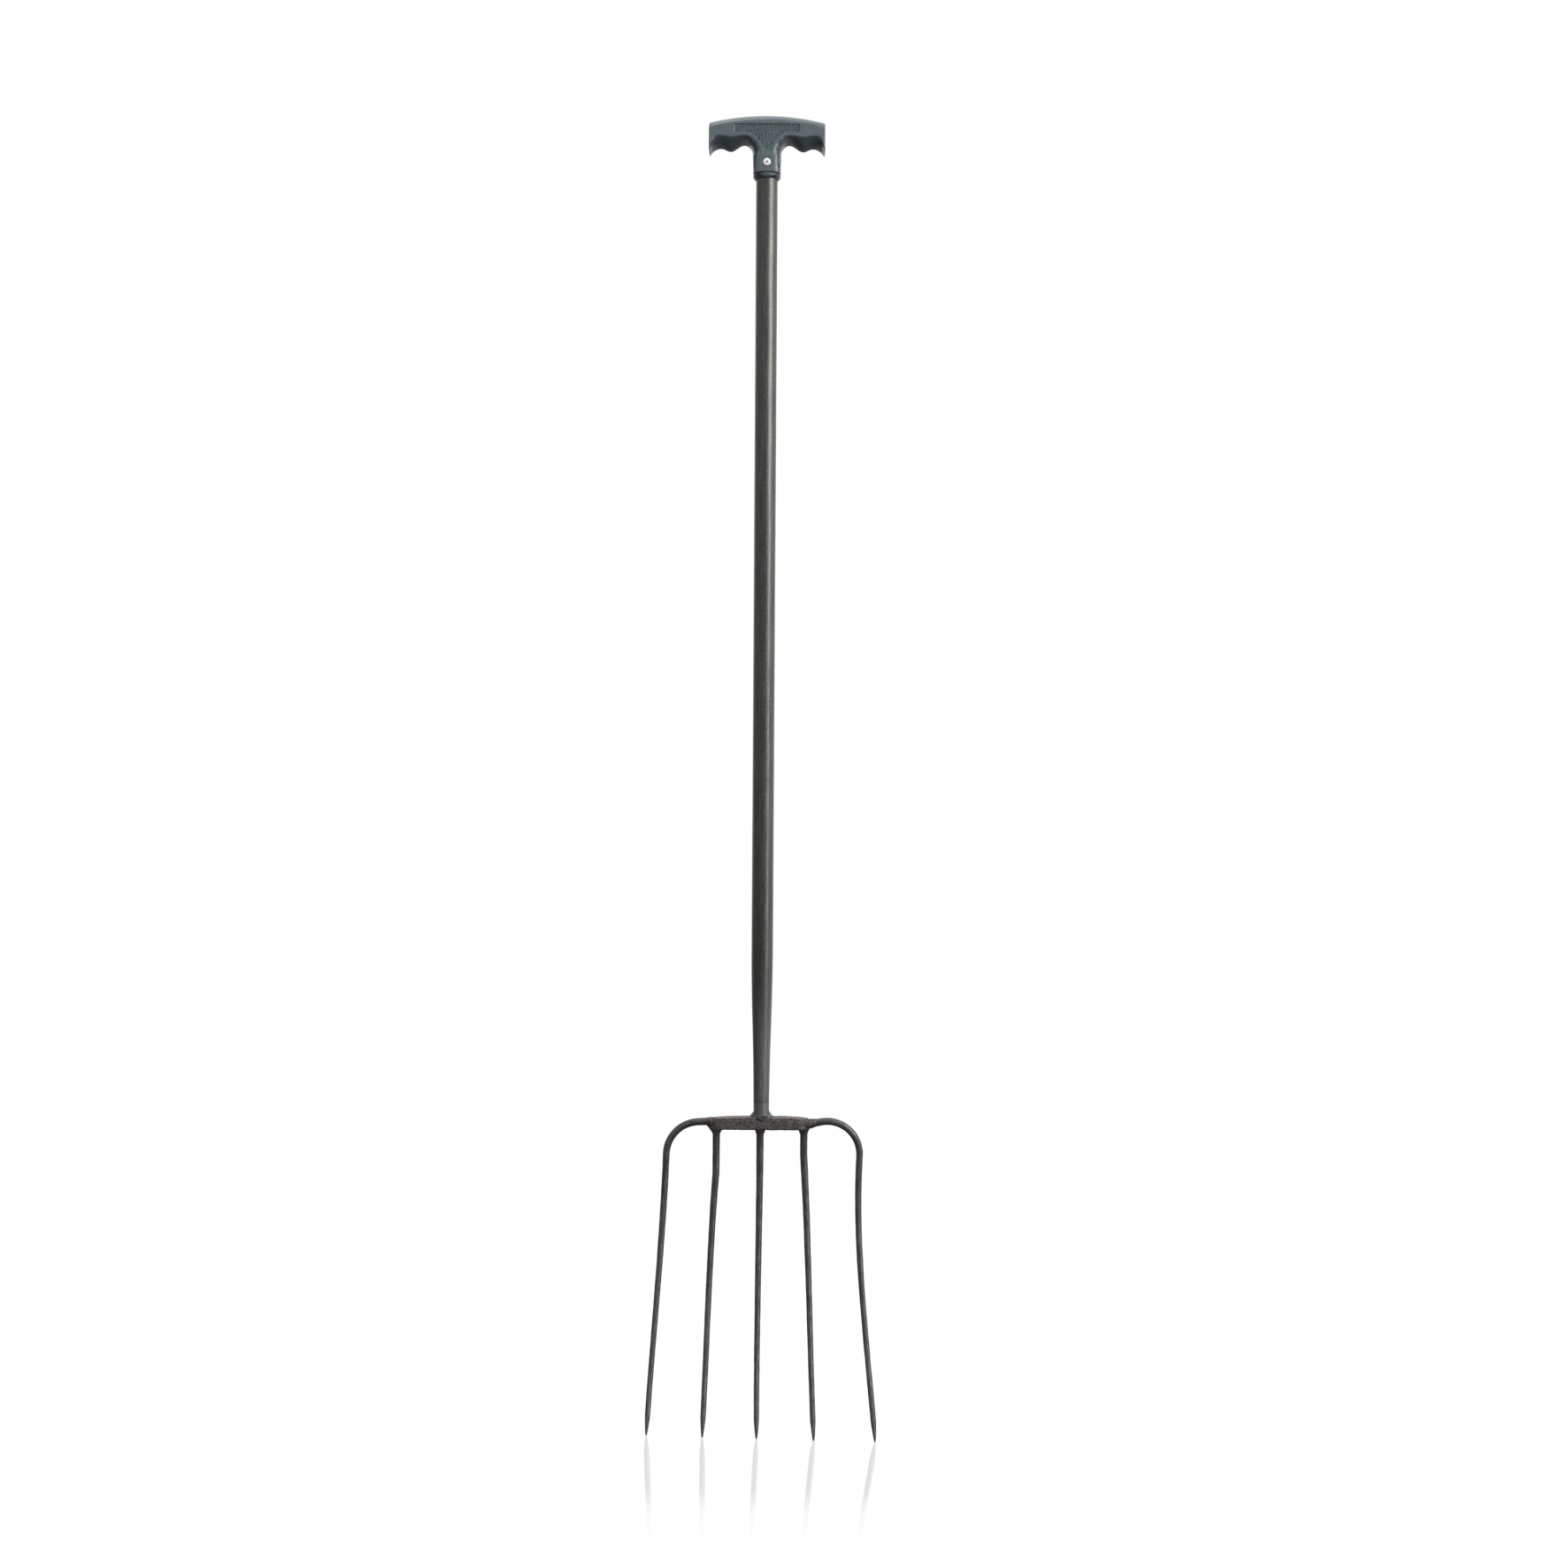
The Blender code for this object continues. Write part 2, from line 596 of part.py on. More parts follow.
def splayed_run(start_x, start_drop, tip_x, drop, side, splays):
    """Points below a tine's start, down to its tip, leaning outward as its splays say."""
    run = drop - start_drop
    count = max(2, round(run / TINE_STEP))
    start_slope, tip_slope = (side * splay * run for splay in splays)
    points = []
    for i in range(1, count + 1):
        share = i / count
        level = start_drop + run * share
        x = hermite(start_x, tip_x, start_slope, tip_slope, share)
        points.append((x, dish(level), -level))
    return points


def inner_path(side, root_x, straight, tip_x, drop, splays):
    """Centre line of an inner tine: an upright stretch, then a splayed run to the tip."""
    points = [(root_x, dish(level), -level) for level in (CLEARANCE, straight / 2, straight)]
    return points + splayed_run(root_x, straight, tip_x, drop, side, splays)


def outer_path(side, bar_end, leg, bend_radius, tip_x, drop, splays):
    """Centre line of an outer tine: straight leg, bend, then a splayed run to the tip."""
    rise, tilt, leg_length = leg
    root_z = CROSSBAR_HEIGHT / 2 + rise
    reach = leg_length * math.cos(tilt) + bend_radius * math.sin(tilt)
    drop_to_centre = bend_radius * math.cos(tilt) - leg_length * math.sin(tilt)
    centre_x, centre_z = bar_end + side * reach, root_z - drop_to_centre
    stub_z = root_z + LEG_STUB * math.tan(tilt)
    points = [(bar_end + side * run, 0.0, stub_z) for run in (CLEARANCE, LEG_STUB)]
    last_angle = math.pi / 2 - math.atan(splays[0])
    for angle in np.linspace(-tilt, last_angle, BEND_STEPS + 1):
        z = centre_z + bend_radius * math.cos(angle)
        points.append((centre_x + side * bend_radius * math.sin(angle), dish(-z), z))
    start_x, start_drop = points[-1][0], -points[-1][2]
    return points + splayed_run(start_x, start_drop, tip_x, drop, side, splays)


def with_point_steps(points):
    """Adds places near the tip, so that the point's round shape shows."""
    last, before = np.array(points[-1]), np.array(points[-2])
    along = (before - last) / np.linalg.norm(before - last)
    kept = [p for p in points[:-1] if np.linalg.norm(np.array(p) - last) > TINE_POINT_LENGTH]
    extra = [tuple(last + along * TINE_POINT_LENGTH * share) for share in POINT_SHARES]
    return kept + extra + [tuple(last)]


def make_tine(name, path, parent, collection, material):
    """A round bar along the path, thinning from its root and drawn to a blunt point."""
    path = with_point_steps(path)
    points = np.array(path)
    steps = np.linalg.norm(np.diff(points, axis=0), axis=1)
    lengths = np.concatenate([[0.0], np.cumsum(steps)])
    shares = lengths / lengths[-1]
    thinning = (1 - shares) ** TINE_THINNING
    diameters = TINE_TIP_DIAMETER + (TINE_ROOT_DIAMETER - TINE_TIP_DIAMETER) * thinning
    from_tip = np.minimum(1.0, (lengths[-1] - lengths) / TINE_POINT_LENGTH)
    bluntness = TINE_POINT_BLUNTNESS
    diameters *= bluntness + (1 - bluntness) * from_tip**TINE_POINT_CURVE
    curve = bpy.data.curves.new(name, "CURVE")
    curve.dimensions = "3D"
    curve.bevel_depth = TINE_ROOT_RADIUS
    curve.bevel_resolution = TINE_BEVEL_RESOLUTION
    curve.use_fill_caps = True
    spline = curve.splines.new("POLY")
    spline.points.add(len(path) - 1)
    for point, place, diameter in zip(spline.points, path, diameters):
        point.co = (*place, 1.0)
        point.radius = diameter / TINE_ROOT_DIAMETER
    spline.use_smooth = True
    return make_object(name, curve, (0, 0, 0), parent, collection, material)


def bead_rings(bore, outer_loop, height, lean=0.0):
    """Rings of a fillet weld along +Z, flared from its base, and leaning towards -X."""
    angles = [2 * math.pi * i / WELD_SIDES for i in range(WELD_SIDES)]
    inside = [(bore * math.cos(a), bore * math.sin(a)) for a in angles]
    edge = bore + WELD_EDGE_THICKNESS
    rings = []
    for i in range(WELD_STEPS + 1):
        share = i / WELD_STEPS
        flare = (1 - share) ** 2
        ring = []
        for a in angles:
            wide_x, wide_y = outer_loop(a)
            x = edge * math.cos(a) * (1 - flare) + wide_x * flare
            y = edge * math.sin(a) * (1 - flare) + wide_y * flare
            ring.append((x - lean * height * share, y, height * share))
        rings.append(ring)
    rings.append([(x - lean * height, y, height) for x, y in inside])
    rings.append([(x, y, 0.0) for x, y in inside])
    return rings


def make_shaft_weld(parent, collection, material):
    """The bead round the tube's foot, widest along the crossbar."""
    bore = TUBE_FOOT_DIAMETER / 2 + CLEARANCE
    wide = bore + SHAFT_WELD_SIDE_REACH
    narrow = bore + SHAFT_WELD_FRONT_REACH

    def outer_loop(angle):
        return wide * math.cos(angle), narrow * math.sin(angle)

    rings = bead_rings(bore, outer_loop, SHAFT_WELD_HEIGHT)
    mesh = loft("shaft_weld", rings, ring_shaped=True)
    place = (0, 0, CROSSBAR_HEIGHT / 2 + CLEARANCE)
    make_object("shaft_weld", mesh, place, parent, collection, material)


def make_inner_weld(name, root_x, parent, collection, material):
    """The bead round an inner tine's root, under the crossbar."""
    bore = TINE_ROOT_RADIUS + CLEARANCE
    wide = bore + TINE_WELD_REACH

    def outer_loop(angle):
        return wide * math.cos(angle), wide * math.sin(angle)

    rings = bead_rings(bore, outer_loop, TINE_WELD_HEIGHT)
    mesh = loft(name, rings, ring_shaped=True)
    place = (root_x, 0, -CROSSBAR_HEIGHT / 2 - CLEARANCE)
    weld = make_object(name, mesh, place, parent, collection, material)
    weld.rotation_euler.x = math.pi


def make_outer_weld(name, side, bar_end, length, leg, parent, collection, material):
    """The bead round an outer tine's leg, on the crossbar's end, deeper below the leg."""
    bore = TINE_ROOT_RADIUS + CLEARANCE
    rise, tilt, _ = leg
    above = bore + WELD_EDGE_THICKNESS
    below = CROSSBAR_HEIGHT / 2 + rise - CROSSBAR_EDGE_ROUND
    beside = bore + LEG_WELD_REACH

    def outer_loop(angle):
        down = math.cos(angle)
        return down * (below if down > 0 else above), beside * math.sin(angle)

    rings = bead_rings(bore, outer_loop, length, math.tan(tilt))
    mesh = loft(name, rings, ring_shaped=True)
    place = (bar_end + side * CLEARANCE, 0, rise)
    weld = make_object(name, mesh, place, parent, collection, material)
    weld.rotation_euler = (0.0 if side > 0 else math.pi, math.pi / 2, 0.0)


def make_inner_tines(head, tine_frame, collection, steel, weld_metal):
    """The three tines under the crossbar, each with its bead."""
    left = inner_path(
        -1,
        LEFT_INNER_ROOT_X,
        LEFT_INNER_STRAIGHT,
        LEFT_INNER_TIP_X,
        LEFT_INNER_DROP,
        (LEFT_INNER_ROOT_SPLAY, LEFT_INNER_TIP_SPLAY),
    )
    middle = inner_path(
        -1,
        MIDDLE_ROOT_X,
        MIDDLE_STRAIGHT,
        MIDDLE_TIP_X,
        MIDDLE_DROP,
        (MIDDLE_ROOT_SPLAY, MIDDLE_TIP_SPLAY),
    )
    right = inner_path(
        1,
        RIGHT_INNER_ROOT_X,
        RIGHT_INNER_STRAIGHT,
        RIGHT_INNER_TIP_X,
        RIGHT_INNER_DROP,
        (RIGHT_INNER_ROOT_SPLAY, RIGHT_INNER_TIP_SPLAY),
    )
    paths = {"left_inner_tine": left, "middle_tine": middle, "right_inner_tine": right}
    for name, path in paths.items():
        make_tine(name, path, tine_frame, collection, steel)
        make_inner_weld(name + "_weld", path[0][0], head, collection, weld_metal)


def make_outer_tines(head, tine_frame, collection, steel, weld_metal):
    """The two bent tines at the crossbar's ends, each with its bead."""
    left_leg = (LEFT_LEG_RISE, LEFT_LEG_TILT, LEFT_LEG_LENGTH)
    left = outer_path(
        -1,
        CROSSBAR_LEFT,
        left_leg,
        LEFT_BEND_RADIUS,
        LEFT_OUTER_TIP_X,
        LEFT_OUTER_DROP,
        (LEFT_OUTER_BEND_SPLAY, LEFT_OUTER_TIP_SPLAY),
    )
    right_leg = (RIGHT_LEG_RISE, RIGHT_LEG_TILT, RIGHT_LEG_LENGTH)
    right = outer_path(
        1,
        CROSSBAR_RIGHT,
        right_leg,
        RIGHT_BEND_RADIUS,
        RIGHT_OUTER_TIP_X,
        RIGHT_OUTER_DROP,
        (RIGHT_OUTER_BEND_SPLAY, RIGHT_OUTER_TIP_SPLAY),
    )
    sides = (
        ("left_outer_tine", left, -1, CROSSBAR_LEFT, LEFT_LEG_WELD_LENGTH, left_leg),
        ("right_outer_tine", right, 1, CROSSBAR_RIGHT, RIGHT_LEG_WELD_LENGTH, right_leg),
    )
    for name, path, side, bar_end, length, leg in sides:
        make_tine(name, path, tine_frame, collection, steel)
        weld_name = name + "_weld"
        make_outer_weld(weld_name, side, bar_end, length, leg, head, collection, weld_metal)


def main():
    clear_scene()
    collection = make_collection("manure_fork")
    cutters = make_collection("cutters")
    plastic = make_material("dark_green_grey_plastic", (0.12, 0.15, 0.165), 0.42, 0.0)
    tube_steel = make_material("dark_tube_steel", (0.07, 0.07, 0.065), 0.4, 0.75)
    head_steel = make_material("dark_forged_steel", (0.06, 0.057, 0.055), 0.6, 0.6)
    weld_metal = make_material("weld_metal", (0.1, 0.105, 0.11), 0.4, 0.8)
    aluminium = make_material("rivet_aluminium", (0.8, 0.8, 0.8), 0.3, 1.0)
    mandrel_steel = make_material("mandrel_steel", (0.25, 0.25, 0.25), 0.45, 1.0)
    fork = make_object("fork_frame", None, (0, 0, 0), None, collection)
    head = make_object("head_frame", None, (0, 0, CROSSBAR_CENTRE), fork, collection)
    tine_place = (0, 0, -CROSSBAR_HEIGHT / 2)
    tine_frame = make_object("tine_frame", None, tine_place, head, collection)
    rivet_hole = make_cross_cutter(
        "rivet_hole_cutter", RIVET_HOLE_RADIUS, -2 * SOCKET_FRONT, 0.0, fork, cutters
    )
    make_grip(fork, collection, cutters, rivet_hole, plastic)
    make_tube(fork, collection, rivet_hole, tube_steel)
    make_rivet(fork, collection, aluminium, mandrel_steel)
    make_crossbar(head, collection, head_steel)
    make_shaft_weld(head, collection, weld_metal)
    make_inner_tines(head, tine_frame, collection, head_steel, weld_metal)
    make_outer_tines(head, tine_frame, collection, head_steel, weld_metal)


main()
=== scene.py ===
import math

import bpy
import numpy as np
from mathutils import Matrix, Vector


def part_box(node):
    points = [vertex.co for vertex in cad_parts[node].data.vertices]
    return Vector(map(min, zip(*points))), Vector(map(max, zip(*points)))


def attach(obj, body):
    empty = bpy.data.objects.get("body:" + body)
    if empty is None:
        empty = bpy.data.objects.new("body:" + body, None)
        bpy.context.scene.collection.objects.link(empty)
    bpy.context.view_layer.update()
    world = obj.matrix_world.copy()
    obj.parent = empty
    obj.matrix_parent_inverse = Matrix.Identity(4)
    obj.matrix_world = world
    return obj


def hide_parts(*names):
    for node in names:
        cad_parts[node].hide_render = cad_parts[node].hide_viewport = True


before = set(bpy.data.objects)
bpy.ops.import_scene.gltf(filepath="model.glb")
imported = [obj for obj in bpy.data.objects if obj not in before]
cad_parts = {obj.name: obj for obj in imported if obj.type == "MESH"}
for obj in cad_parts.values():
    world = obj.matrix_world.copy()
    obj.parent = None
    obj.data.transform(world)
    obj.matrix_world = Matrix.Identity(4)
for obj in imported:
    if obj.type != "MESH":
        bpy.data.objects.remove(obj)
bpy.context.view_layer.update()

# Looks of a manure fork: moulded T grip, mill scale steel tube, forged and welded head.
# Metres, +Z up, the front of the fork faces -Y, left and right as seen from the front.

MM = 0.001

# Places and main sizes, read from the frame
grip_low, grip_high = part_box("t_grip")
tube_low, tube_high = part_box("shaft_tube")
bar_low, bar_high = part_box("crossbar")
rivet_low, rivet_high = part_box("grip_rivet")

# Grip: the arms' section and their levels above the hanging point
GRIP_HALF_WIDTH = grip_high[0]
CROWN_LEVEL = grip_high[2]
CROWN_SAGITTA = 7.3 * MM
TOP_ROUND = 9 * MM
END_ROUND = 1.4 * MM
FACE_LEVEL = CROWN_LEVEL - 22.8 * MM
FACE_SCALLOP = 1.2 * MM
FACE_Y = 14.5 * MM
END_DIP = 11.8 * MM
END_DIP_START = 52 * MM
END_DIP_POWER = 3
ROW_GAP = 0.05 * MM
THINNEST = 0.02 * MM
ROW_CROWDING = 1.2

# Socket on the tube, its collar and its flutes
TUBE_RADIUS = tube_high[0]
BORE_RADIUS = TUBE_RADIUS + 0.3 * MM
BORE_LIP = 0.25 * MM
COLLAR_RADIUS = BORE_RADIUS + 2.9 * MM
SOCKET_HALF_WIDTH = COLLAR_RADIUS + 0.45 * MM
SOCKET_FRONT = COLLAR_RADIUS + 0.5 * MM
SOCKET_SQUARENESS = 3.6
SOCKET_BOTTOM = grip_low[2]
COLLAR_TOP = SOCKET_BOTTOM + 5.2 * MM
COLLAR_ROUND = 2.5 * MM
COLLAR_ROUND_HEIGHT = 3 * MM
COLLAR_ROUND_POWER = 1.3
BORE_TOP = CROWN_LEVEL - 17 * MM
FLUTE_DEPTH = 3 * MM
FLUTE_LENGTH = 16 * MM
FLUTE_FADE = 2.5 * MM
FLUTE_ANGLE = math.radians(47)
FLUTE_SPREAD = math.radians(5.5)
STEP_ROUND = 0.5 * MM
STEP_RUN = 1.4 * MM
STEP_GROOVE = 1 * MM
STEP_GROOVE_DROP = 0.5 * MM
STEP_GROOVE_REACH = 9.5 * MM
STEP_GROOVE_FADE = 2.5 * MM
NECK_BLEND = 4.5 * MM
HIDDEN_INSET = 2 * MM

# Finger grooves: places across the grip, and depths below the hanging point
COVE_DROP = 9.5 * MM
COVE_REACH = 8.2 * MM
COVE_TOP = 2 * MM
COVE_BLEND = 6 * MM
INNER_GROOVE_X = SOCKET_HALF_WIDTH + 8.2 * MM
RIDGE_X = INNER_GROOVE_X + 14.2 * MM
OUTER_GROOVE_X = RIDGE_X + 9.6 * MM
LIP_X = GRIP_HALF_WIDTH - END_ROUND
RIDGE_DROP = 6.4 * MM
OUTER_GROOVE_DROP = 3.5 * MM
LIP_DROP = 9.4 * MM
LIP_CURVE = 2.2
NECK_FULLNESS = 1.7
GROOVE_FULLNESS = 1.22
LIP_FULLNESS = 1.7

# Neck, and the sunk panel with its ribs
NECK_HALF_WIDTH = 5 * MM
NECK_FLARE = 15.5 * MM
NECK_CURVE = 1.7
PANEL_HALF_WIDTH = 33.5 * MM
PANEL_TOP = CROWN_LEVEL - 11.2 * MM
PANEL_ARM_BOTTOM = PANEL_TOP - 9.4 * MM
PANEL_FOOT_HALF_WIDTH = 3.8 * MM
PANEL_FLARE = 18 * MM
PANEL_CORNER = 1.6 * MM
PANEL_RECESS = 1.3 * MM
PANEL_WALL = 0.9 * MM
RIB_PITCH = 2 * MM
RIB_HEIGHT = 1.15 * MM
RIB_SLOPE = math.radians(31)
BEAD_PITCH = 3.1 * MM
BEAD_SHARE = 0.6

# Rivet through the front of the socket
RIVET_LEVEL = (rivet_low[2] + rivet_high[2]) / 2
RIVET_LENGTH = rivet_high[1] - rivet_low[1]
SEAT_Y = -(SOCKET_FRONT - 0.5 * MM)
RIVET_SINK = 0.3 * MM
RIVET_RADIUS = rivet_high[0]
RIVET_HEIGHT = 1.3 * MM
RIVET_RIM = 0.4 * MM
RIVET_BORE = 0.95 * MM
SHANK_RADIUS = 2 * MM
BULB_RADIUS = 3 * MM
BULB_LENGTH = 4.2 * MM
SEAT_MARGIN = 0.6 * MM
SEAT_EDGE = 0.35 * MM
SEAT_RING_DEPTH = 0.7 * MM
MANDREL_RADIUS = 0.8 * MM
MANDREL_HEAD_RADIUS = 1.7 * MM
MANDREL_SINK = 1 * MM

# Tube: wall, and the drawn down foot
TUBE_WALL = 1.5 * MM
TUBE_FOOT_RADIUS = 8 * MM
TUBE_TAPER_LENGTH = 175 * MM

# Crossbar, with layers of noise as (height, size, seed)
BAR_SHOULDER_DROP = 1.4 * MM
BAR_SHOULDER_RUN = 24 * MM
BAR_EDGE_ROUND = 1.5 * MM
BAR_END_RUN = 11 * MM
BAR_END_TAPER = 0.38
BAR_GROOVE_DROP = 2.2 * MM
BAR_GROOVE_WIDTH = 0.8 * MM
BAR_GROOVE_DEPTH = 0.5 * MM
BAR_LAYERS = ((0.18 * MM, 5 * MM, 11), (0.13 * MM, 1.9 * MM, 12), (0.13 * MM, 0.85 * MM, 13))
BAR_TOP = bar_high[2]
BAR_UNDERSIDE = bar_low[2]
BAR_LEVEL = (BAR_TOP + BAR_UNDERSIDE) / 2

# Tines: their bars
ROOT_DIAMETER = 7.8 * MM
TIP_DIAMETER = 5.5 * MM
TINE_THINNING = 1.5
POINT_LENGTH = 20 * MM
POINT_BLUNTNESS = 0.15
POINT_CURVE = 0.6
POINT_END_SHARE = 0.012
TINE_DISH = 60 * MM
TINE_DISH_POWER = 1.9
MIDDLE_DROP = 297.7 * MM
TINE_STEP = 1.2 * MM
TINE_SIDES = 40
TINE_SINK = 2.5 * MM
TINE_WAVE_HEIGHT = 0.1 * MM
TINE_MARK_HEIGHT = 0.07 * MM

# Outer tines: side, the bar's end, the leg's rise and tilt; then the leg's length, the
# bend's radius, and the tip's place, drop below the bar, and splays at both ends of the run
LEFT_LEG = (-1, bar_low[0], 1.5 * MM, math.radians(-2.5))
RIGHT_LEG = (1, bar_high[0], -1.1 * MM, math.radians(11.4))
LEFT_RUN = (13.8 * MM, 33.7 * MM, -111.8 * MM, 294.9 * MM, (0.032, 0.043))
RIGHT_RUN = (12.7 * MM, 33.2 * MM, 115.5 * MM, 299.6 * MM, (-0.057, 0.078))

# Inner tines: the root's place, the straight length, the tip's place and drop, the side
# that they lean to, and the splays at both ends of the run
LEFT_INNER = (-45.8 * MM, 44 * MM, -56.2 * MM, 296.7 * MM, -1, (0.076, 0.038))
MIDDLE = (-1.1 * MM, 40 * MM, -2.3 * MM, MIDDLE_DROP, -1, (0.007, -0.01))
RIGHT_INNER = (43.6 * MM, 26 * MM, 54.6 * MM, 299.1 * MM, 1, (0.061, 0.047))

# Welds
FILLET_CURVE = 1.6
FILLET_SKIN = 0.15 * MM
FILLET_DIP = 0.5 * MM
ROOT_LUMP = 0.3 * MM
SHAFT_LUMP = 0.35 * MM
SHAFT_BEAD_DROP = 2.4 * MM
WEB_RISE = 5.5 * MM
OUTER_BEAD_START = 4.5 * MM
OUTER_BEAD_SWELL = 0.12

# Noise in the shapes: random values in a table, and primes that pick one for each place
NOISE_VALUES = 4096
NOISE_PRIMES = np.array([73856093, 19349663, 83492791])

FLOOR_REACH = 4.0


def ease(start, end, share):
    """From start to end along half a cosine wave, level at both ends."""
    return start + (end - start) * (1 - np.cos(np.pi * np.clip(share, 0, 1))) / 2


def smooth_step(value, width):
    """0 below zero, 1 above width, and 3 s squared less 2 s cubed between them."""
    share = np.clip(value / width, 0, 1)
    return share**2 * (3 - 2 * share)


def between(value, start, end):
    """The value's place from start to end, from 0 to 1."""
    return np.clip((value - start) / (end - start), 0, 1)


def bell(offset, width):
    """e to the power of minus the square of offset by width."""
    return np.exp(-((offset / width) ** 2))


def quarter_curve(share, power=2):
    """Quarter superellipse from 1 down to 0, a circle at a power of 2."""
    return (1 - share**power) ** (1 / power)


def drawn_in(past, radius):
    """How far a rounded edge is drawn in, past the start of its quarter circle."""
    return radius - np.sqrt(radius**2 - np.clip(past, 0, radius) ** 2)


def quarter_turn(count):
    """Even angles up to a right angle."""
    return np.linspace(0, np.pi / 2, count)


def full_turn(count):
    """A row of even angles once round."""
    return np.linspace(0, 2 * np.pi, count + 1)[None, :-1]


def stacked(*columns):
    """Points from coordinates, each spread to the same shape."""
    return np.stack(np.broadcast_arrays(*columns), axis=-1)


def unit(vectors):
    """The vectors at a length of one."""
    return vectors / np.maximum(np.linalg.norm(vectors, axis=-1, keepdims=True), 1e-12)


def lengths_along(points):
    """The length of a path up to each of its points."""
    return np.append(0, np.cumsum(np.linalg.norm(np.diff(points, axis=0), axis=1)))


def resampled(points, lengths, stations):
    """The places on a path at given lengths."""
    return np.stack([np.interp(stations, lengths, column) for column in points.T], axis=-1)


def lattice_noise(points, size, seed):
    """Smooth noise from -1 to 1: random values at the corners of a cubic lattice of the
    given size, blended inside each cell with smooth step weights."""
    table = np.random.default_rng(seed).uniform(-1, 1, NOISE_VALUES)
    scaled = points / size
    cell = np.floor(scaled).astype(np.int64)
    weight = smooth_step(scaled - cell, 1)
    total = np.zeros(points.shape[:-1])
    for corner in np.ndindex(2, 2, 2):
        x, y, z = np.moveaxis((cell + corner) * NOISE_PRIMES, -1, 0)
        share = np.prod(np.where(corner, weight, 1 - weight), axis=-1)
        total += table[(x ^ y ^ z) % NOISE_VALUES] * share
    return total


def roughened(rings, layers):
    """Rings moved along their normals, the cross products of the steps round and along
    them, by noise: each layer is (height, size, seed)."""
    along = np.gradient(rings, axis=0)
    around = np.roll(rings, -1, axis=1) - np.roll(rings, 1, axis=1)
    normals = unit(np.cross(around, along))
    from_centre = rings - rings.mean(axis=1, keepdims=True)
    outward = np.sign(np.sum(normals * from_centre, axis=(0, 1, 2)))
    lift = sum(height * lattice_noise(rings, size, seed) for height, size, seed in layers)
    return rings + normals * outward * lift[..., None]


def added(name, data):
    """A new object in the scene."""
    piece = bpy.data.objects.new(name, data)
    bpy.context.scene.collection.objects.link(piece)
    return piece


def ring_mesh(name, rings, material, nodes, ring_shaped=False, place=None):
    """A closed skin over a stack of rings: quads between each ring and the next, and a fan
    to a middle point at both ends, or quads from the last ring to the first."""
    points = rings.reshape(-1, 3)
    index = np.arange(len(points)).reshape(rings.shape[:2])
    following = np.roll(index, -1, axis=1)
    quads = stacked(index, following, np.roll(following, -1, axis=0), np.roll(index, -1, axis=0))
    fans = np.zeros((0, 3), dtype=int)
    if not ring_shaped:
        quads = quads[:-1]
        start = stacked(following[0], index[0], len(points))
        end = stacked(index[-1], following[-1], len(points) + 1)
        fans = np.vstack([start, end])
        points = np.vstack([points, rings[[0, -1]].mean(axis=1)])
    quads = quads.reshape(-1, 4)
    split = np.vstack([quads[:, [0, 1, 2]], quads[:, [0, 2, 3]], fans])
    a, b, c = (points[split[:, i]] for i in range(3))
    if np.sum(a * np.cross(b, c)) < 0:
        quads, fans = quads[:, ::-1], fans[:, ::-1]
    mesh = bpy.data.meshes.new(name)
    mesh.from_pydata(points.tolist(), [], quads.tolist() + fans.tolist())
    mesh.shade_smooth()
    mesh.set_sharp_from_angle(angle=math.radians(50))
    if place is not None:
        values = np.vstack([place.reshape(-1, 3), place[[0, -1]].mean(axis=1)])
        attribute = mesh.attributes.new("bar_place", "FLOAT_VECTOR", "POINT")
        attribute.data.foreach_set("vector", values.astype(np.float32).ravel())
    mesh.materials.append(material)
    piece = added(name, mesh)
    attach(piece, "root")
    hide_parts(*nodes)


# Grip

def crown_level(x):
    """Top of the grip: a parabola over its width."""
    return CROWN_LEVEL - CROWN_SAGITTA * (x / GRIP_HALF_WIDTH) ** 2


def groove_level(x):
    """Lowest line of the underside: level neck, quarter ellipse up to the inner groove,
    cosine waves down to the ridge and up to the outer groove, power curve to the lip."""
    x = np.abs(x)
    rise = np.clip((INNER_GROOVE_X - x) / COVE_REACH, 0, 1)
    cove = COVE_DROP * (quarter_curve(rise) - 1)
    ridge = ease(0, -RIDGE_DROP, between(x, INNER_GROOVE_X, RIDGE_X))
    outer = ease(-RIDGE_DROP, -OUTER_GROOVE_DROP, between(x, RIDGE_X, OUTER_GROOVE_X))
    share = between(x, OUTER_GROOVE_X, LIP_X) ** LIP_CURVE
    lip = -OUTER_GROOVE_DROP - (LIP_DROP - OUTER_GROOVE_DROP) * share
    places = [x <= INNER_GROOVE_X, x <= RIDGE_X, x <= OUTER_GROOVE_X]
    return np.select(places, [cove, ridge, outer], lip)


def neck_curve(x, half_width, flare, level):
    """From the cove's level at half_width up to a level, along a quarter superellipse."""
    share = np.clip(1 - (np.abs(x) - half_width) / flare, 0, 1)
    return -COVE_DROP + (level + COVE_DROP) * quarter_curve(share, NECK_CURVE)


def face_level(x):
    """Lower edge of the flat faces: the neck's curve, a bell shaped dip at the ridge, and a
    power curve down the end."""
    x = np.abs(x)
    dip = between(x, END_DIP_START, LIP_X) ** END_DIP_POWER
    scallop = FACE_SCALLOP * bell(x - RIDGE_X, (RIDGE_X - INNER_GROOVE_X) / 2)
    level = FACE_LEVEL - scallop - END_DIP * dip
    neck = neck_curve(x, NECK_HALF_WIDTH, NECK_FLARE, FACE_LEVEL)
    return np.where(x <= NECK_HALF_WIDTH + NECK_FLARE, neck, level)


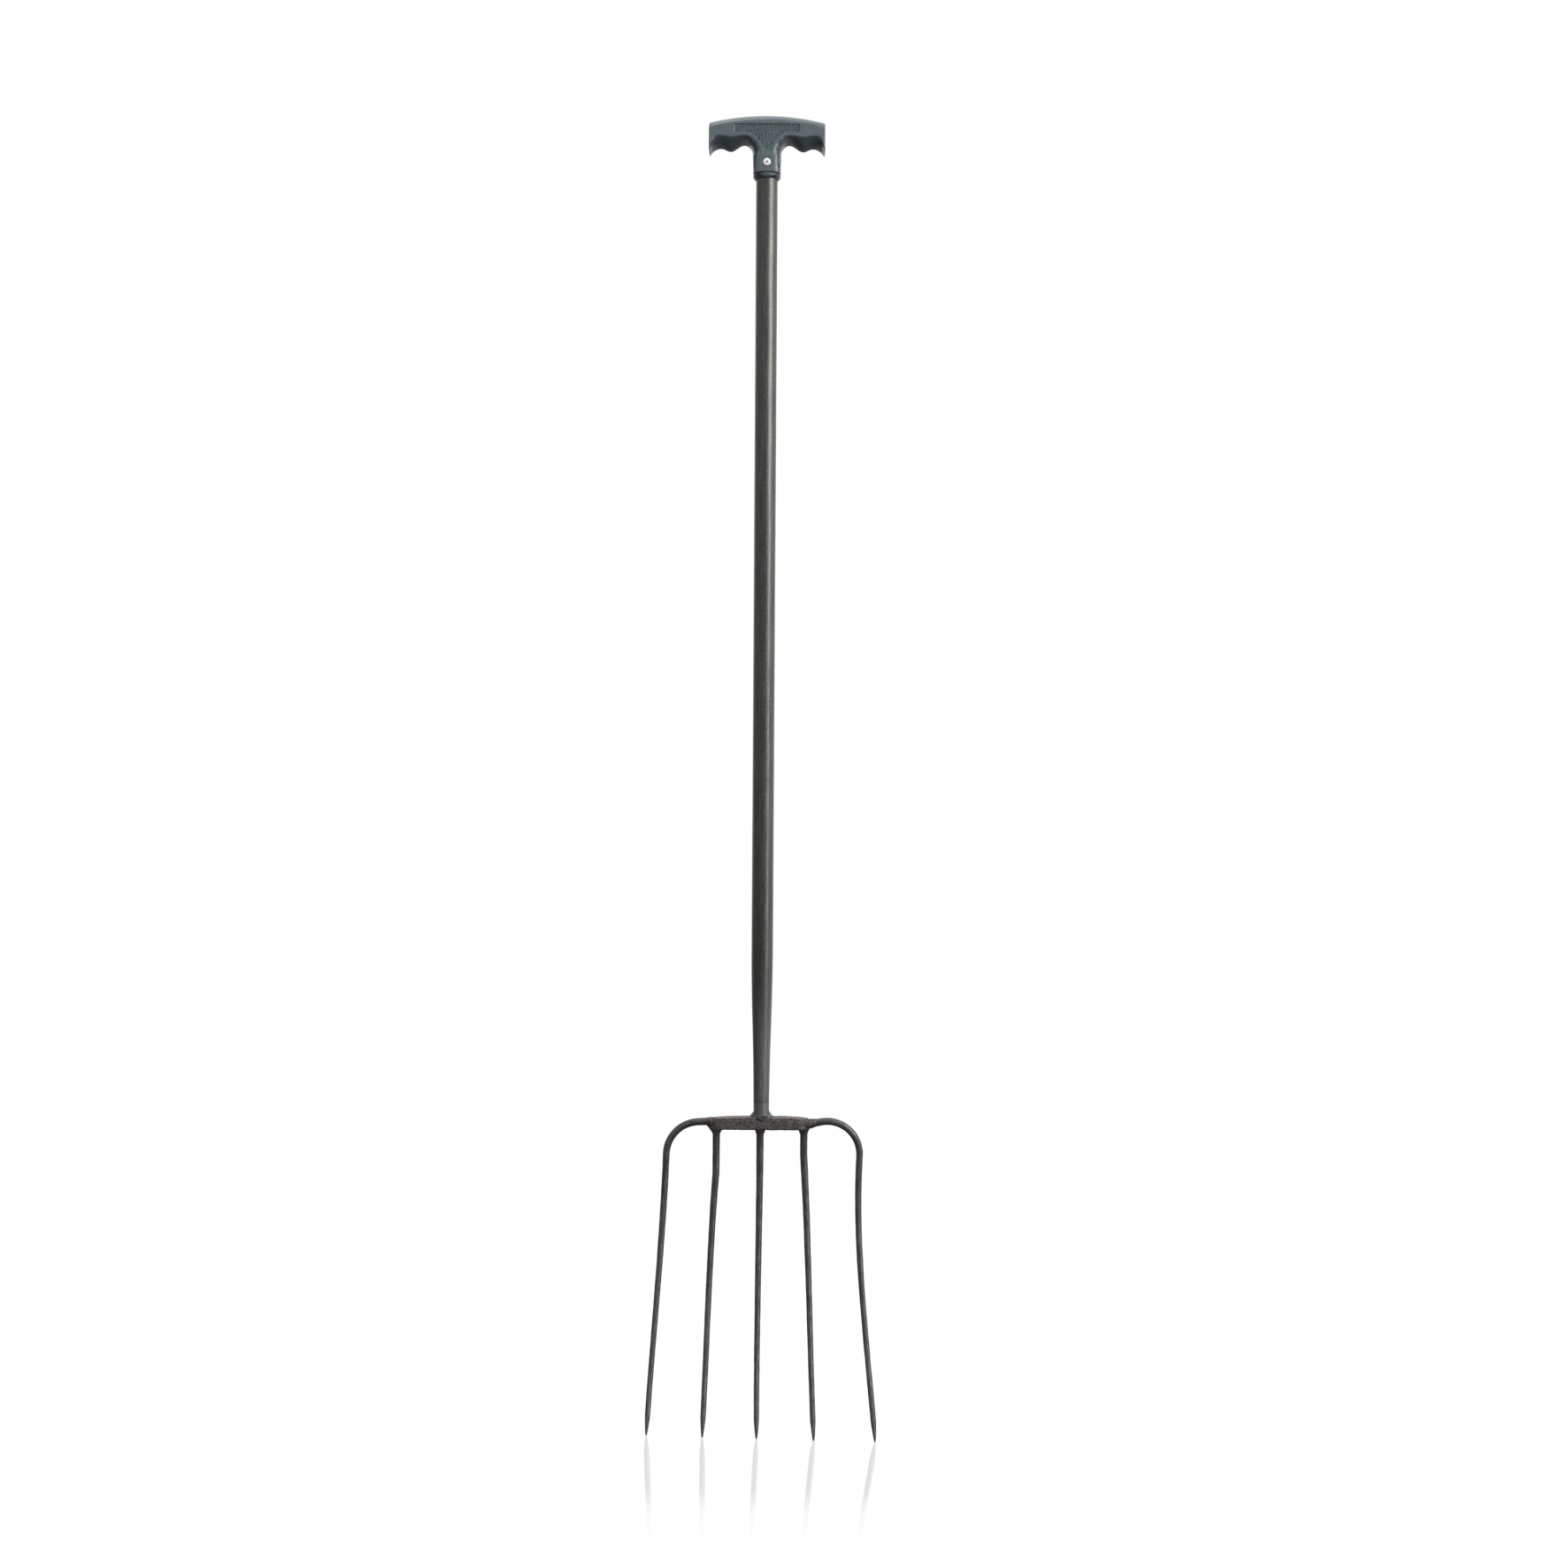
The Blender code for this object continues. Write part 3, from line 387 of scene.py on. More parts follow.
def rounded_pair(first, second):
    """Distance inside two edges at right angles that meet in a rounded corner."""
    short = np.hypot(np.maximum(PANEL_CORNER - first, 0), np.maximum(PANEL_CORNER - second, 0))
    return PANEL_CORNER - short + np.maximum(np.minimum(first, second) - PANEL_CORNER, 0)


def panel_inset(x, z):
    """Distance inside the panel's outline: a band along the arms with rounded corners, and
    a foot inside the neck's curve, read across and upwards and blended."""
    x = np.abs(x)
    from_end = PANEL_HALF_WIDTH - x
    band = np.minimum(
        rounded_pair(PANEL_TOP - z, from_end), rounded_pair(z - PANEL_ARM_BOTTOM, from_end)
    )
    share = between(z, -COVE_DROP, PANEL_ARM_BOTTOM)
    reach = PANEL_FLARE * (1 - quarter_curve(share, NECK_CURVE))
    across = np.where(share < 1, PANEL_FOOT_HALF_WIDTH + reach - x, from_end)
    upwards = z - neck_curve(x, PANEL_FOOT_HALF_WIDTH, PANEL_FLARE, PANEL_ARM_BOTTOM)
    both = np.maximum(across, 0) * np.maximum(upwards, 0)
    foot = both / np.maximum(np.hypot(across, upwards), 1e-9)
    foot = np.where(x < PANEL_FOOT_HALF_WIDTH + PANEL_FLARE, foot, 0)
    return np.maximum(band, np.minimum(foot, PANEL_TOP - z))


def rib_height(x, z):
    """Ribs across the panel: rounded ridges one pitch apart on a slope, swelling to beads at
    even steps along each rib, with every second rib's beads between its neighbours'."""
    across = x * math.sin(RIB_SLOPE) + z * math.cos(RIB_SLOPE)
    along = x * math.cos(RIB_SLOPE) - z * math.sin(RIB_SLOPE)
    rib = np.floor(across / RIB_PITCH)
    ridge = np.sin(np.pi * (across / RIB_PITCH - rib))
    bead = 0.5 + 0.5 * np.cos(2 * np.pi * (along / BEAD_PITCH + rib / 2))
    return RIB_HEIGHT * ridge * (1 - BEAD_SHARE + BEAD_SHARE * bead)


def panel_depth(x, z):
    """How far the face is sunk: the recess inside the panel's outline, with sloping walls,
    less its ribs, which start at the foot of the walls."""
    inset = panel_inset(x, z)
    sunk = PANEL_RECESS * smooth_step(inset, PANEL_WALL)
    return sunk - rib_height(x, z) * smooth_step(inset - PANEL_WALL / 2, PANEL_WALL / 2)


def grip_stations():
    """Places of the rings across the grip, close over the panel and at the neck's edges,
    the socket's sides and the rounded ends."""
    panel = np.linspace(-PANEL_HALF_WIDTH, PANEL_HALF_WIDTH, 229)
    neck = NECK_HALF_WIDTH + 0.6 * MM * np.linspace(0, 1, 13) ** 2
    side = np.linspace(SOCKET_HALF_WIDTH - 2.5 * MM, SOCKET_HALF_WIDTH, 14)
    arm = np.linspace(PANEL_HALF_WIDTH, LIP_X, 34)[1:]
    end = GRIP_HALF_WIDTH - END_ROUND * (1 - np.sin(quarter_turn(9)[1:])) - 1e-6
    half = np.hstack([arm, end])
    return np.unique(np.hstack([-half, -side, -neck, panel, neck, side, half]))


def cove_depth(x, z, depth):
    """How far forward the cove beside the neck lies: at every level a quarter ellipse from
    the neck's edge out to the grip's outline."""
    rise = between(z, -COVE_DROP, FACE_LEVEL)
    edge = NECK_HALF_WIDTH + NECK_FLARE * (1 - quarter_curve(rise, NECK_CURVE))
    lift = np.clip(1 + z / COVE_DROP, 0, 1)
    outline = INNER_GROOVE_X - COVE_REACH * quarter_curve(lift)
    share = np.clip((np.abs(x) - edge) / np.maximum(outline - edge, 1e-6), 0, 1)
    return depth * quarter_curve(share)


def make_arms(material):
    """Rings across the grip, down its front and up its back: a quarter circle over the
    top, a flat face with the sunk panel, and a superellipse under the fingers, which gives
    way to the cove beside the neck."""
    x = grip_stations()[:, None]
    inset = drawn_in(np.abs(x) - LIP_X, END_ROUND)
    depth = FACE_Y - inset
    top = crown_level(x) - inset
    shoulder = top - TOP_ROUND
    bottom = groove_level(x) + inset
    face = np.maximum(face_level(x) + inset, bottom) + ROW_GAP
    upper = np.minimum(PANEL_TOP, shoulder - THINNEST)
    above = shoulder + (upper - shoulder) * np.linspace(0, 1, 4)[:-1]
    below = upper + (face - upper) * np.linspace(0, 1, 81)[:-1] ** ROW_CROWDING
    flat = np.hstack([above, below])
    turns = quarter_turn(13)[:-1]
    round_y, round_z = depth * np.sin(turns), top - TOP_ROUND * (1 - np.cos(turns))
    to_lip = between(np.abs(x), OUTER_GROOVE_X, LIP_X)
    from_neck = between(np.abs(x), SOCKET_HALF_WIDTH, INNER_GROOVE_X)
    fullness = ease(NECK_FULLNESS, GROOVE_FULLNESS, from_neck)
    fullness = fullness + ease(0, LIP_FULLNESS - GROOVE_FULLNESS, to_lip)
    turns = quarter_turn(24)
    under_y = depth * np.maximum(0, np.cos(turns)) ** (2 / fullness)
    under_z = face - (face - bottom) * np.sin(turns) ** (2 / fullness)
    beside = ease(1, 0, from_neck) * smooth_step(COVE_TOP - under_z, COVE_BLEND)
    under_y = under_y + (cove_depth(x, under_z, depth) - under_y) * beside
    under_y = np.maximum(under_y, THINNEST)
    y = np.hstack([round_y, depth - panel_depth(x, flat), under_y])
    z = np.hstack([round_z, flat, under_z])
    front = stacked(x, -y, z)
    back = front[:, :0:-1] * [1, -1, 1]
    rings = np.hstack([front, back])
    ring_mesh("grip_arms", rings, material, ["t_grip"])


def neck_radius(sine, cosine):
    """Radius of the neck's section at its lower end: flat in front and behind, with half
    ellipses at the sides, as where the arms' coves end."""
    side = SOCKET_HALF_WIDTH - NECK_HALF_WIDTH
    square = (sine / side) ** 2 + (cosine / FACE_Y) ** 2
    half = NECK_HALF_WIDTH * sine / side**2
    rest = (NECK_HALF_WIDTH / side) ** 2 - 1
    rounded = (half + np.sqrt(half**2 - square * rest)) / square
    flat = FACE_Y / np.maximum(cosine, 1e-3)
    return np.where(flat * sine <= NECK_HALF_WIDTH, flat, rounded)


def socket_radius(angle, z):
    """Outer radius at an angle from the front: a round collar drawn in to its rim along a
    superellipse, then a superellipse that widens upwards and turns into the neck's section,
    with two pairs of bell shaped flutes, and a groove under its front and back edges."""
    sine, cosine = np.abs(np.sin(angle)), np.abs(np.cos(angle))
    corner = np.clip(1 - (z - SOCKET_BOTTOM) / COLLAR_ROUND_HEIGHT, 0, 1)
    collar = COLLAR_RADIUS - COLLAR_ROUND * (1 - quarter_curve(corner, COLLAR_ROUND_POWER))
    rise = between(z, COLLAR_TOP, -COVE_DROP)
    half_width = COLLAR_RADIUS + (SOCKET_HALF_WIDTH - COLLAR_RADIUS) * rise
    power = SOCKET_SQUARENESS
    body = ((sine / half_width) ** power + (cosine / SOCKET_FRONT) ** power) ** (-1 / power)
    below_neck = -COVE_DROP - z
    share = np.clip(1 - below_neck / FLUTE_LENGTH, 0, 1) * smooth_step(below_neck, FLUTE_FADE)
    from_face = np.minimum(np.abs(angle), np.pi - np.abs(angle))
    body = body - FLUTE_DEPTH * share * bell(from_face - FLUTE_ANGLE, FLUTE_SPREAD)
    to_neck = smooth_step(NECK_BLEND - below_neck, NECK_BLEND)
    body = body + (neck_radius(sine, cosine) - body) * to_neck
    step = smooth_step(z - COLLAR_TOP + STEP_ROUND / 2, STEP_ROUND)
    radius = collar + (body - collar) * step
    groove = bell(z - COLLAR_TOP + STEP_GROOVE_DROP, STEP_GROOVE_DROP)
    groove = groove * smooth_step(STEP_GROOVE_REACH - sine * body, STEP_GROOVE_FADE)
    radius = radius - STEP_GROOVE * groove
    inside = np.clip(-below_neck / MM, 0, 1) + np.clip(-below_neck / COVE_DROP, 0, 1)
    return radius - np.minimum(inside, 1.6) * HIDDEN_INSET


def make_socket(material):
    """Rings from the bore's roof down the bore, round the rim and up the outside, with a
    flat seat for the rivet where the front is cut at the seat's depth."""
    angle = full_turn(288) - np.pi
    bore_z = np.linspace(BORE_TOP, SOCKET_BOTTOM + 1 * MM, 12)
    bore_z = np.append(bore_z, [SOCKET_BOTTOM + 0.3 * MM, SOCKET_BOTTOM])
    rim = SOCKET_BOTTOM + COLLAR_ROUND_HEIGHT * (1 - np.cos(np.linspace(0, 1.1, 11)))
    collar = np.linspace(rim[-1], COLLAR_TOP - STEP_RUN, 5)[1:]
    step = np.linspace(COLLAR_TOP - STEP_RUN, COLLAR_TOP + STEP_ROUND, 17)[1:]
    body = np.linspace(step[-1], -COVE_DROP, 84)[1:]
    hidden = np.linspace(-COVE_DROP, BORE_TOP + 2 * MM, 26)[1:]
    outer_z = np.hstack([rim, collar, step, body, hidden])
    inner = np.full((len(bore_z), angle.size), BORE_RADIUS)
    inner[-1] += BORE_LIP
    radius = np.vstack([inner, socket_radius(angle, outer_z[:, None])])
    z = np.append(bore_z, outer_z)[:, None]
    x, y = radius * np.sin(angle), -radius * np.cos(angle)
    from_flange = np.hypot(x, z - RIVET_LEVEL) - RIVET_RADIUS
    seat = smooth_step(SEAT_MARGIN - from_flange, SEAT_EDGE)
    ring = bell(from_flange - SEAT_MARGIN / 2, SEAT_EDGE)
    on_front = (y < SEAT_Y / 2) & (radius > BORE_RADIUS + 1 * MM)
    seated = y + np.maximum(0, SEAT_Y - y) * seat + SEAT_RING_DEPTH * ring
    rings = stacked(x, np.where(on_front, seated, y), z)
    ring_mesh("grip_socket", rings, material, ["t_grip"])


# Rivet and tube

def turned(profile, sides):
    """Rings of a turned shape: each (radius, height) of the profile goes once round Z."""
    angle = full_turn(sides)
    radius, height = np.array(profile).T[..., None]
    return stacked(radius * np.cos(angle), radius * np.sin(angle), height)


def at_rivet(rings):
    """Turns rings along +Z to point along -Y from the rivet's seat."""
    seat = SEAT_Y - RIVET_SINK
    return stacked(rings[..., 0], seat - rings[..., 2], RIVET_LEVEL + rings[..., 1])


def make_rivet(shell_material, mandrel_material):
    """A turned shell, whose flange is a quarter ellipse over its rim, and its mandrel."""
    turns = np.linspace(0.12, np.pi / 2, 14)
    dome_radius = RIVET_BORE + (RIVET_RADIUS - RIVET_BORE) * np.sin(turns)
    dome_height = RIVET_RIM + (RIVET_HEIGHT - RIVET_RIM) * np.cos(turns)
    bulb = RIVET_HEIGHT + BULB_LENGTH - RIVET_SINK - RIVET_LENGTH
    shell = [
        (RIVET_BORE, bulb - BULB_LENGTH),
        (RIVET_BORE, RIVET_HEIGHT - 0.25 * MM),
        (RIVET_BORE + 0.15 * MM, RIVET_HEIGHT - 0.05 * MM),
        *zip(dome_radius, dome_height),
        (RIVET_RADIUS, 0.1 * MM),
        (RIVET_RADIUS - 0.1 * MM, 0),
        (SHANK_RADIUS, 0),
        (SHANK_RADIUS, bulb),
        (BULB_RADIUS, bulb - 0.5 * MM),
        (BULB_RADIUS, bulb - BULB_LENGTH + 1 * MM),
        (SHANK_RADIUS, bulb - BULB_LENGTH),
    ]
    rings = at_rivet(turned(shell, 64))
    ring_mesh("rivet_shell", rings, shell_material, ["grip_rivet"], True)
    top = RIVET_HEIGHT - MANDREL_SINK
    head_top = bulb - BULB_LENGTH - 0.3 * MM
    mandrel = [
        (0.15 * MM, top + 0.12 * MM),
        (0.5 * MM, top + 0.05 * MM),
        (MANDREL_RADIUS - 0.1 * MM, top - 0.05 * MM),
        (MANDREL_RADIUS, top - 0.15 * MM),
        (MANDREL_RADIUS, head_top),
        (MANDREL_HEAD_RADIUS, head_top),
        (MANDREL_HEAD_RADIUS, head_top - 1.5 * MM),
        (1 * MM, head_top - 2.2 * MM),
    ]
    rings = at_rivet(turned(mandrel, 40))
    ring_mesh("rivet_stub", rings, mandrel_material, ["rivet_mandrel"])


def tube_radius(z):
    """Outside radius: parallel, then down to the foot along half a cosine wave."""
    share = 1 - (z - tube_low[2]) / TUBE_TAPER_LENGTH
    return ease(TUBE_RADIUS, TUBE_FOOT_RADIUS, share)


def make_tube(material):
    """Rings up the outside and down the bore of a turned tube, with slight hollows and
    draw marks on the foot, where the noise grows as the tube narrows."""
    outside_z = np.linspace(tube_low[2], tube_high[2], 520)
    inside_z = outside_z[::-13]
    radius = np.append(tube_radius(outside_z), tube_radius(inside_z) - TUBE_WALL)
    rings = turned(stacked(radius, np.append(outside_z, inside_z)), 96)
    outer = rings[: len(outside_z)]
    taper = np.clip(1 - (outer[..., 2] - tube_low[2]) / TUBE_TAPER_LENGTH, 0, 1)
    stretched = outer * [1, 1, 0.25]
    lift = (0.03 + 0.1 * taper) * MM * lattice_noise(stretched, 5 * MM, 3)
    lift = lift + 0.05 * MM * taper * lattice_noise(stretched, 1.6 * MM, 4)
    rings[: len(outside_z)] = outer + unit(outer * [1, 1, 0]) * lift[..., None]
    ring_mesh("shaft", rings, material, ["shaft_tube"], True)


# Head

def rounded_box_loop(half_depth, half_height, radius, count):
    """Points round a box with quarter circle corners, at even steps of its outline."""
    turn = quarter_turn(7) + np.arange(4)[:, None] * np.pi / 2
    side_y, side_z = np.array([[1, -1, -1, 1], [1, 1, -1, -1]])[..., None]
    y = side_y * (half_depth - radius) + radius * np.cos(turn)
    z = side_z * (half_height - radius) + radius * np.sin(turn)
    loop = stacked(y, z).reshape(-1, 2)
    loop = np.vstack([loop, loop[:1]])
    lengths = lengths_along(loop)
    return resampled(loop, lengths, np.linspace(0, lengths[-1], count + 1)[:-1])


def make_crossbar(material):
    """Rings along the bar: a box outline with round corners, lowered along its sloping
    shoulders, drawn in round its ends and from front and back towards them, with a bell
    shaped groove below its upper edges, and roughened like hammered bar."""
    middle = np.linspace(bar_low[0] + BAR_EDGE_ROUND, bar_high[0] - BAR_EDGE_ROUND, 230)
    left = bar_low[0] + BAR_EDGE_ROUND * (1 - np.sin(quarter_turn(7)[-2:0:-1]))
    x = np.hstack([left, middle, (bar_low[0] + bar_high[0] - left)[::-1]])[:, None]
    from_end = np.minimum(x - bar_low[0], bar_high[0] - x)
    shrink = drawn_in(BAR_EDGE_ROUND - from_end, BAR_EDGE_ROUND)
    half_depth, half_height = bar_high[1], (BAR_TOP - BAR_UNDERSIDE) / 2
    loop_y, loop_z = rounded_box_loop(half_depth, half_height, BAR_EDGE_ROUND, 116).T
    y = loop_y * (1 - shrink / half_depth)
    y = y * (1 - BAR_END_TAPER * smooth_step(BAR_END_RUN - from_end, BAR_END_RUN))
    z = loop_z * (1 - shrink / half_height)
    upper = between(z, -half_height, half_height)
    share = np.clip(1 - from_end / BAR_SHOULDER_RUN, 0, 1)
    z = z + BAR_LEVEL - BAR_SHOULDER_DROP * share * upper
    rings = stacked(x, y, z)
    groove = bell(loop_z - half_height + BAR_GROOVE_DROP, BAR_GROOVE_WIDTH)
    wander = 0.6 + 0.6 * lattice_noise(rings, 3 * MM, 14)
    rings[..., 1] -= np.sign(y) * BAR_GROOVE_DEPTH * groove * wander
    rings = roughened(rings, BAR_LAYERS)
    ring_mesh("head_bar", rings, material, ["crossbar"])


def dish(z):
    """How far forward a tine has come at a level: a power of its drop below the bar."""
    drop = np.maximum(0, BAR_UNDERSIDE - z)
    return -TINE_DISH * (drop / MIDDLE_DROP) ** TINE_DISH_POWER


def splayed_run(start_x, start_z, tip_x, tip_z, side, splays):
    """Points down to the tip, whose x follows a cubic with the splay at each end."""
    run = start_z - tip_z
    share = np.linspace(0, 1, round(run / TINE_STEP) + 1)[1:]
    start_slope, tip_slope = (side * splay * run for splay in splays)
    bow = (start_slope * (1 - share) - tip_slope * share) * share * (1 - share)
    x = start_x + (tip_x - start_x) * smooth_step(share, 1) + bow
    z = start_z - run * share
    return stacked(x, dish(z), z)


def inner_path(root_x, straight, tip_x, drop, side, splays):
    """Centre line of an inner tine: upright from inside the bar, then a splayed run."""
    start_z = BAR_UNDERSIDE - straight
    z = np.linspace(BAR_UNDERSIDE + TINE_SINK, start_z, round(straight / TINE_STEP))
    run = splayed_run(root_x, start_z, tip_x, BAR_UNDERSIDE - drop, side, splays)
    return np.vstack([stacked(root_x, dish(z), z), run])


def outer_path(side, bar_end, rise, tilt, leg, radius, tip_x, drop, splays):
    """Centre line of an outer tine: a tilted leg from inside the bar's end, an arc that
    turns it down, and a splayed run."""
    root_z = BAR_LEVEL + rise
    centre_x = bar_end + side * (leg * math.cos(tilt) + radius * math.sin(tilt))
    centre_z = root_z - (radius * math.cos(tilt) - leg * math.sin(tilt))
    angle = np.linspace(-tilt, math.pi / 2 - math.atan(splays[0]), 44)
    arc = stacked(centre_x + side * radius * np.sin(angle), centre_z + radius * np.cos(angle))
    start = np.array([bar_end - side * TINE_SINK, root_z - TINE_SINK * math.tan(tilt)])
    straight = start + (arc[0] - start) * np.linspace(0, 1, 14)[:-1, None]
    x, z = np.vstack([straight, arc]).T
    run = splayed_run(x[-1], z[-1], tip_x, BAR_UNDERSIDE - drop, side, splays)
    return np.vstack([stacked(x, dish(z), z), run])


def smoothed_path(path):
    """The path at even steps of its length, softened by a running mean of five points."""
    lengths = lengths_along(path)
    even = np.linspace(0, lengths[-1], round(lengths[-1] / TINE_STEP) + 1)
    points = resampled(path, lengths, even)
    points[2:-2] = sum(points[2 + i : len(points) - 2 + i] for i in range(-2, 3)) / 5
    return points, even


def make_tine(node, path, material, seed):
    """Rings carried along the path: round bar that thins by a power of the length left, a
    rounded point, and low hammer marks and waves from noise."""
    points, lengths = smoothed_path(path)
    end = POINT_LENGTH / 4
    close = lengths[-1] - end * np.linspace(1, 0, 14)[1:] ** 1.5
    stations = np.append(lengths[lengths < lengths[-1] - end], close)
    points = resampled(points, lengths, stations)
    thinning = np.clip(1 - stations / stations[-1], 0, 1) ** TINE_THINNING
    diameter = TIP_DIAMETER + (ROOT_DIAMETER - TIP_DIAMETER) * thinning
    from_tip = np.clip((stations[-1] - stations) / POINT_LENGTH, 0, 1)
    point_share = POINT_BLUNTNESS + (1 - POINT_BLUNTNESS) * from_tip**POINT_CURVE
    end_round = quarter_curve(1 - np.clip(from_tip / POINT_END_SHARE, 0, 1))
    radius = (diameter / 2 * point_share * np.maximum(end_round, 0.05))[:, None]
    tangent = unit(np.gradient(points, axis=0))
    across = unit(np.cross(tangent, [0, 1, 0]))
    forward = np.cross(across, tangent)
    cosine, sine = np.cos(full_turn(TINE_SIDES)), np.sin(full_turn(TINE_SIDES))
    bar = ROOT_DIAMETER / 2
    place = stacked(bar * cosine, bar * sine, stations[:, None])
    place = place + seed * np.array([0.1, 0, 0.5])
    waves = lattice_noise(place * [1, 1, 0.3], 6 * MM, seed)
    marks = lattice_noise(place * [1, 1, 0.6], 2.2 * MM, seed + 50)
    lift = TINE_WAVE_HEIGHT * waves + TINE_MARK_HEIGHT * marks
    ring = (radius + lift * from_tip[:, None] ** 0.5)[..., None]
    offset = ring * (cosine[..., None] * across[:, None] + sine[..., None] * forward[:, None])
    rings = points[:, None] + offset
    ring_mesh("forged_" + node, rings, material, [node], place=place)


def make_tines(material):
    """The five tines, each along its own measured path."""
    paths = (
        ("left_outer_tine", outer_path(*LEFT_LEG, *LEFT_RUN)),
        ("left_inner_tine", inner_path(*LEFT_INNER)),
        ("middle_tine", inner_path(*MIDDLE)),
        ("right_inner_tine", inner_path(*RIGHT_INNER)),
        ("right_outer_tine", outer_path(*RIGHT_LEG, *RIGHT_RUN)),
    )
    for seed, (node, path) in enumerate(paths, 31):
        make_tine(node, path, material, seed)


# Welds

def weld_mesh(node, rings, material):
    ring_mesh("weld_at_" + node.removesuffix("_weld"), rings, material, [node])


def bead_rings(wide_x, wide_y, height, seed, inner=ROOT_DIAMETER / 2, lump=ROOT_LUMP):
    """Rings up a fillet weld, with their angle and share of the height: the wide foot
    shrinks to the bar by a power of the height left, dips under the bar's skin at its top,
    and has lumps from noise."""
    share = np.linspace(0, 1, 44)[:, None]
    angle = full_turn(120)
    cosine, sine = np.cos(angle), np.sin(angle)
    flare = (1 - share) ** FILLET_CURVE
    top = inner + FILLET_SKIN - FILLET_DIP * share**5
    x = top * cosine * (1 - flare) + np.where(cosine > 0, wide_x[1], wide_x[0]) * cosine * flare
    y = top * sine * (1 - flare) + wide_y * sine * flare
    rings = stacked(x, y, height * share)
    lift = lattice_noise(rings, 2.6 * MM, seed) + 0.5 * lattice_noise(rings, 1.1 * MM, seed + 1)
    rings = rings + stacked(cosine, sine, 0) * (lump * lift * (1 - share**6))[..., None]
    return rings, angle, share


def make_shaft_weld(material):
    """The bead round the tube's foot: high fillets along the bar's top on both sides, and
    low lumps in front and behind that reach a little down the bar's faces."""
    low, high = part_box("shaft_weld")
    reach = (high[0] - 1 * MM,) * 2
    start = BAR_TOP - 1.5 * MM
    beside = bar_high[1] + 0.1 * MM
    size = (reach, beside, high[2] - start)
    rings, angle, share = bead_rings(*size, 21, TUBE_FOOT_RADIUS, SHAFT_LUMP)
    facing = np.abs(np.sin(angle)) ** 3
    rings[..., 2] *= 1 - 0.5 * facing
    rings[..., 2] += start - SHAFT_BEAD_DROP * facing * (1 - share) ** 1.5
    bulge = SHAFT_LUMP * np.sin(np.pi * share) * facing
    rings[..., 1] += np.sign(np.sin(angle)) * bulge
    inside = rings[:1] * [0.8, 0.8, 1] + [0, 0, 0.2 * MM]
    weld_mesh("shaft_weld", np.vstack([inside, rings]), material)


def make_inner_weld(node, root_x, seed, material, web):
    """The bead round an inner tine's root, under the bar, and its web on one side, which
    rises towards the outer tine's leg."""
    low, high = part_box(node)
    wide = (high[0] - low[0]) / 2 + 0.6 * MM
    sink = 1 * MM
    height = high[2] - low[2] + sink + 1.5 * MM
    reach = (max(wide, -web), max(wide, web))
    rings, angle, share = bead_rings(reach, wide, height, seed)
    rings[..., 2] = BAR_UNDERSIDE + sink - rings[..., 2]
    if web:
        toward = np.clip(math.copysign(1, web) * np.cos(angle), 0, 1) ** 2
        rings[..., 2] += WEB_RISE * toward * (1 - share)
    weld_mesh(node, rings + [root_x, 0, 0], material)


def make_outer_weld(node, side, bar_end, rise, tilt, seed, material):
    """The bead on the bar's end round an outer tine's leg: it starts inside the bar, level
    with its top, and reaches down the bar's end."""
    low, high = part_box(node)
    root_z = BAR_LEVEL + rise
    up = max(BAR_TOP - BAR_SHOULDER_DROP - root_z, ROOT_DIAMETER / 2) - 0.3 * MM
    reach = (up, root_z - low[2])
    length = high[0] - low[0] + OUTER_BEAD_START
    wide = bar_high[1] * (1 - BAR_END_TAPER / 2) - 0.4 * MM
    rings, _, share = bead_rings(reach, wide, length, seed)
    swell = 1 + OUTER_BEAD_SWELL * np.sin(np.pi * share)
    along = rings[..., 2] - OUTER_BEAD_START
    z = root_z - rings[..., 0] * swell + along * math.tan(tilt)
    weld_mesh(node, stacked(bar_end + side * along, rings[..., 1] * swell, z), material)


def make_welds(shaft_bead, root_bead):
    """The six beads of the head."""
    make_shaft_weld(shaft_bead)
    make_inner_weld("left_inner_tine_weld", LEFT_INNER[0], 61, root_bead, -12.8 * MM)
    make_inner_weld("middle_tine_weld", MIDDLE[0], 62, root_bead, 0)
    make_inner_weld("right_inner_tine_weld", RIGHT_INNER[0], 63, root_bead, 9 * MM)
    make_outer_weld("left_outer_tine_weld", *LEFT_LEG, 71, root_bead)
    make_outer_weld("right_outer_tine_weld", *RIGHT_LEG, 72, root_bead)


# Materials

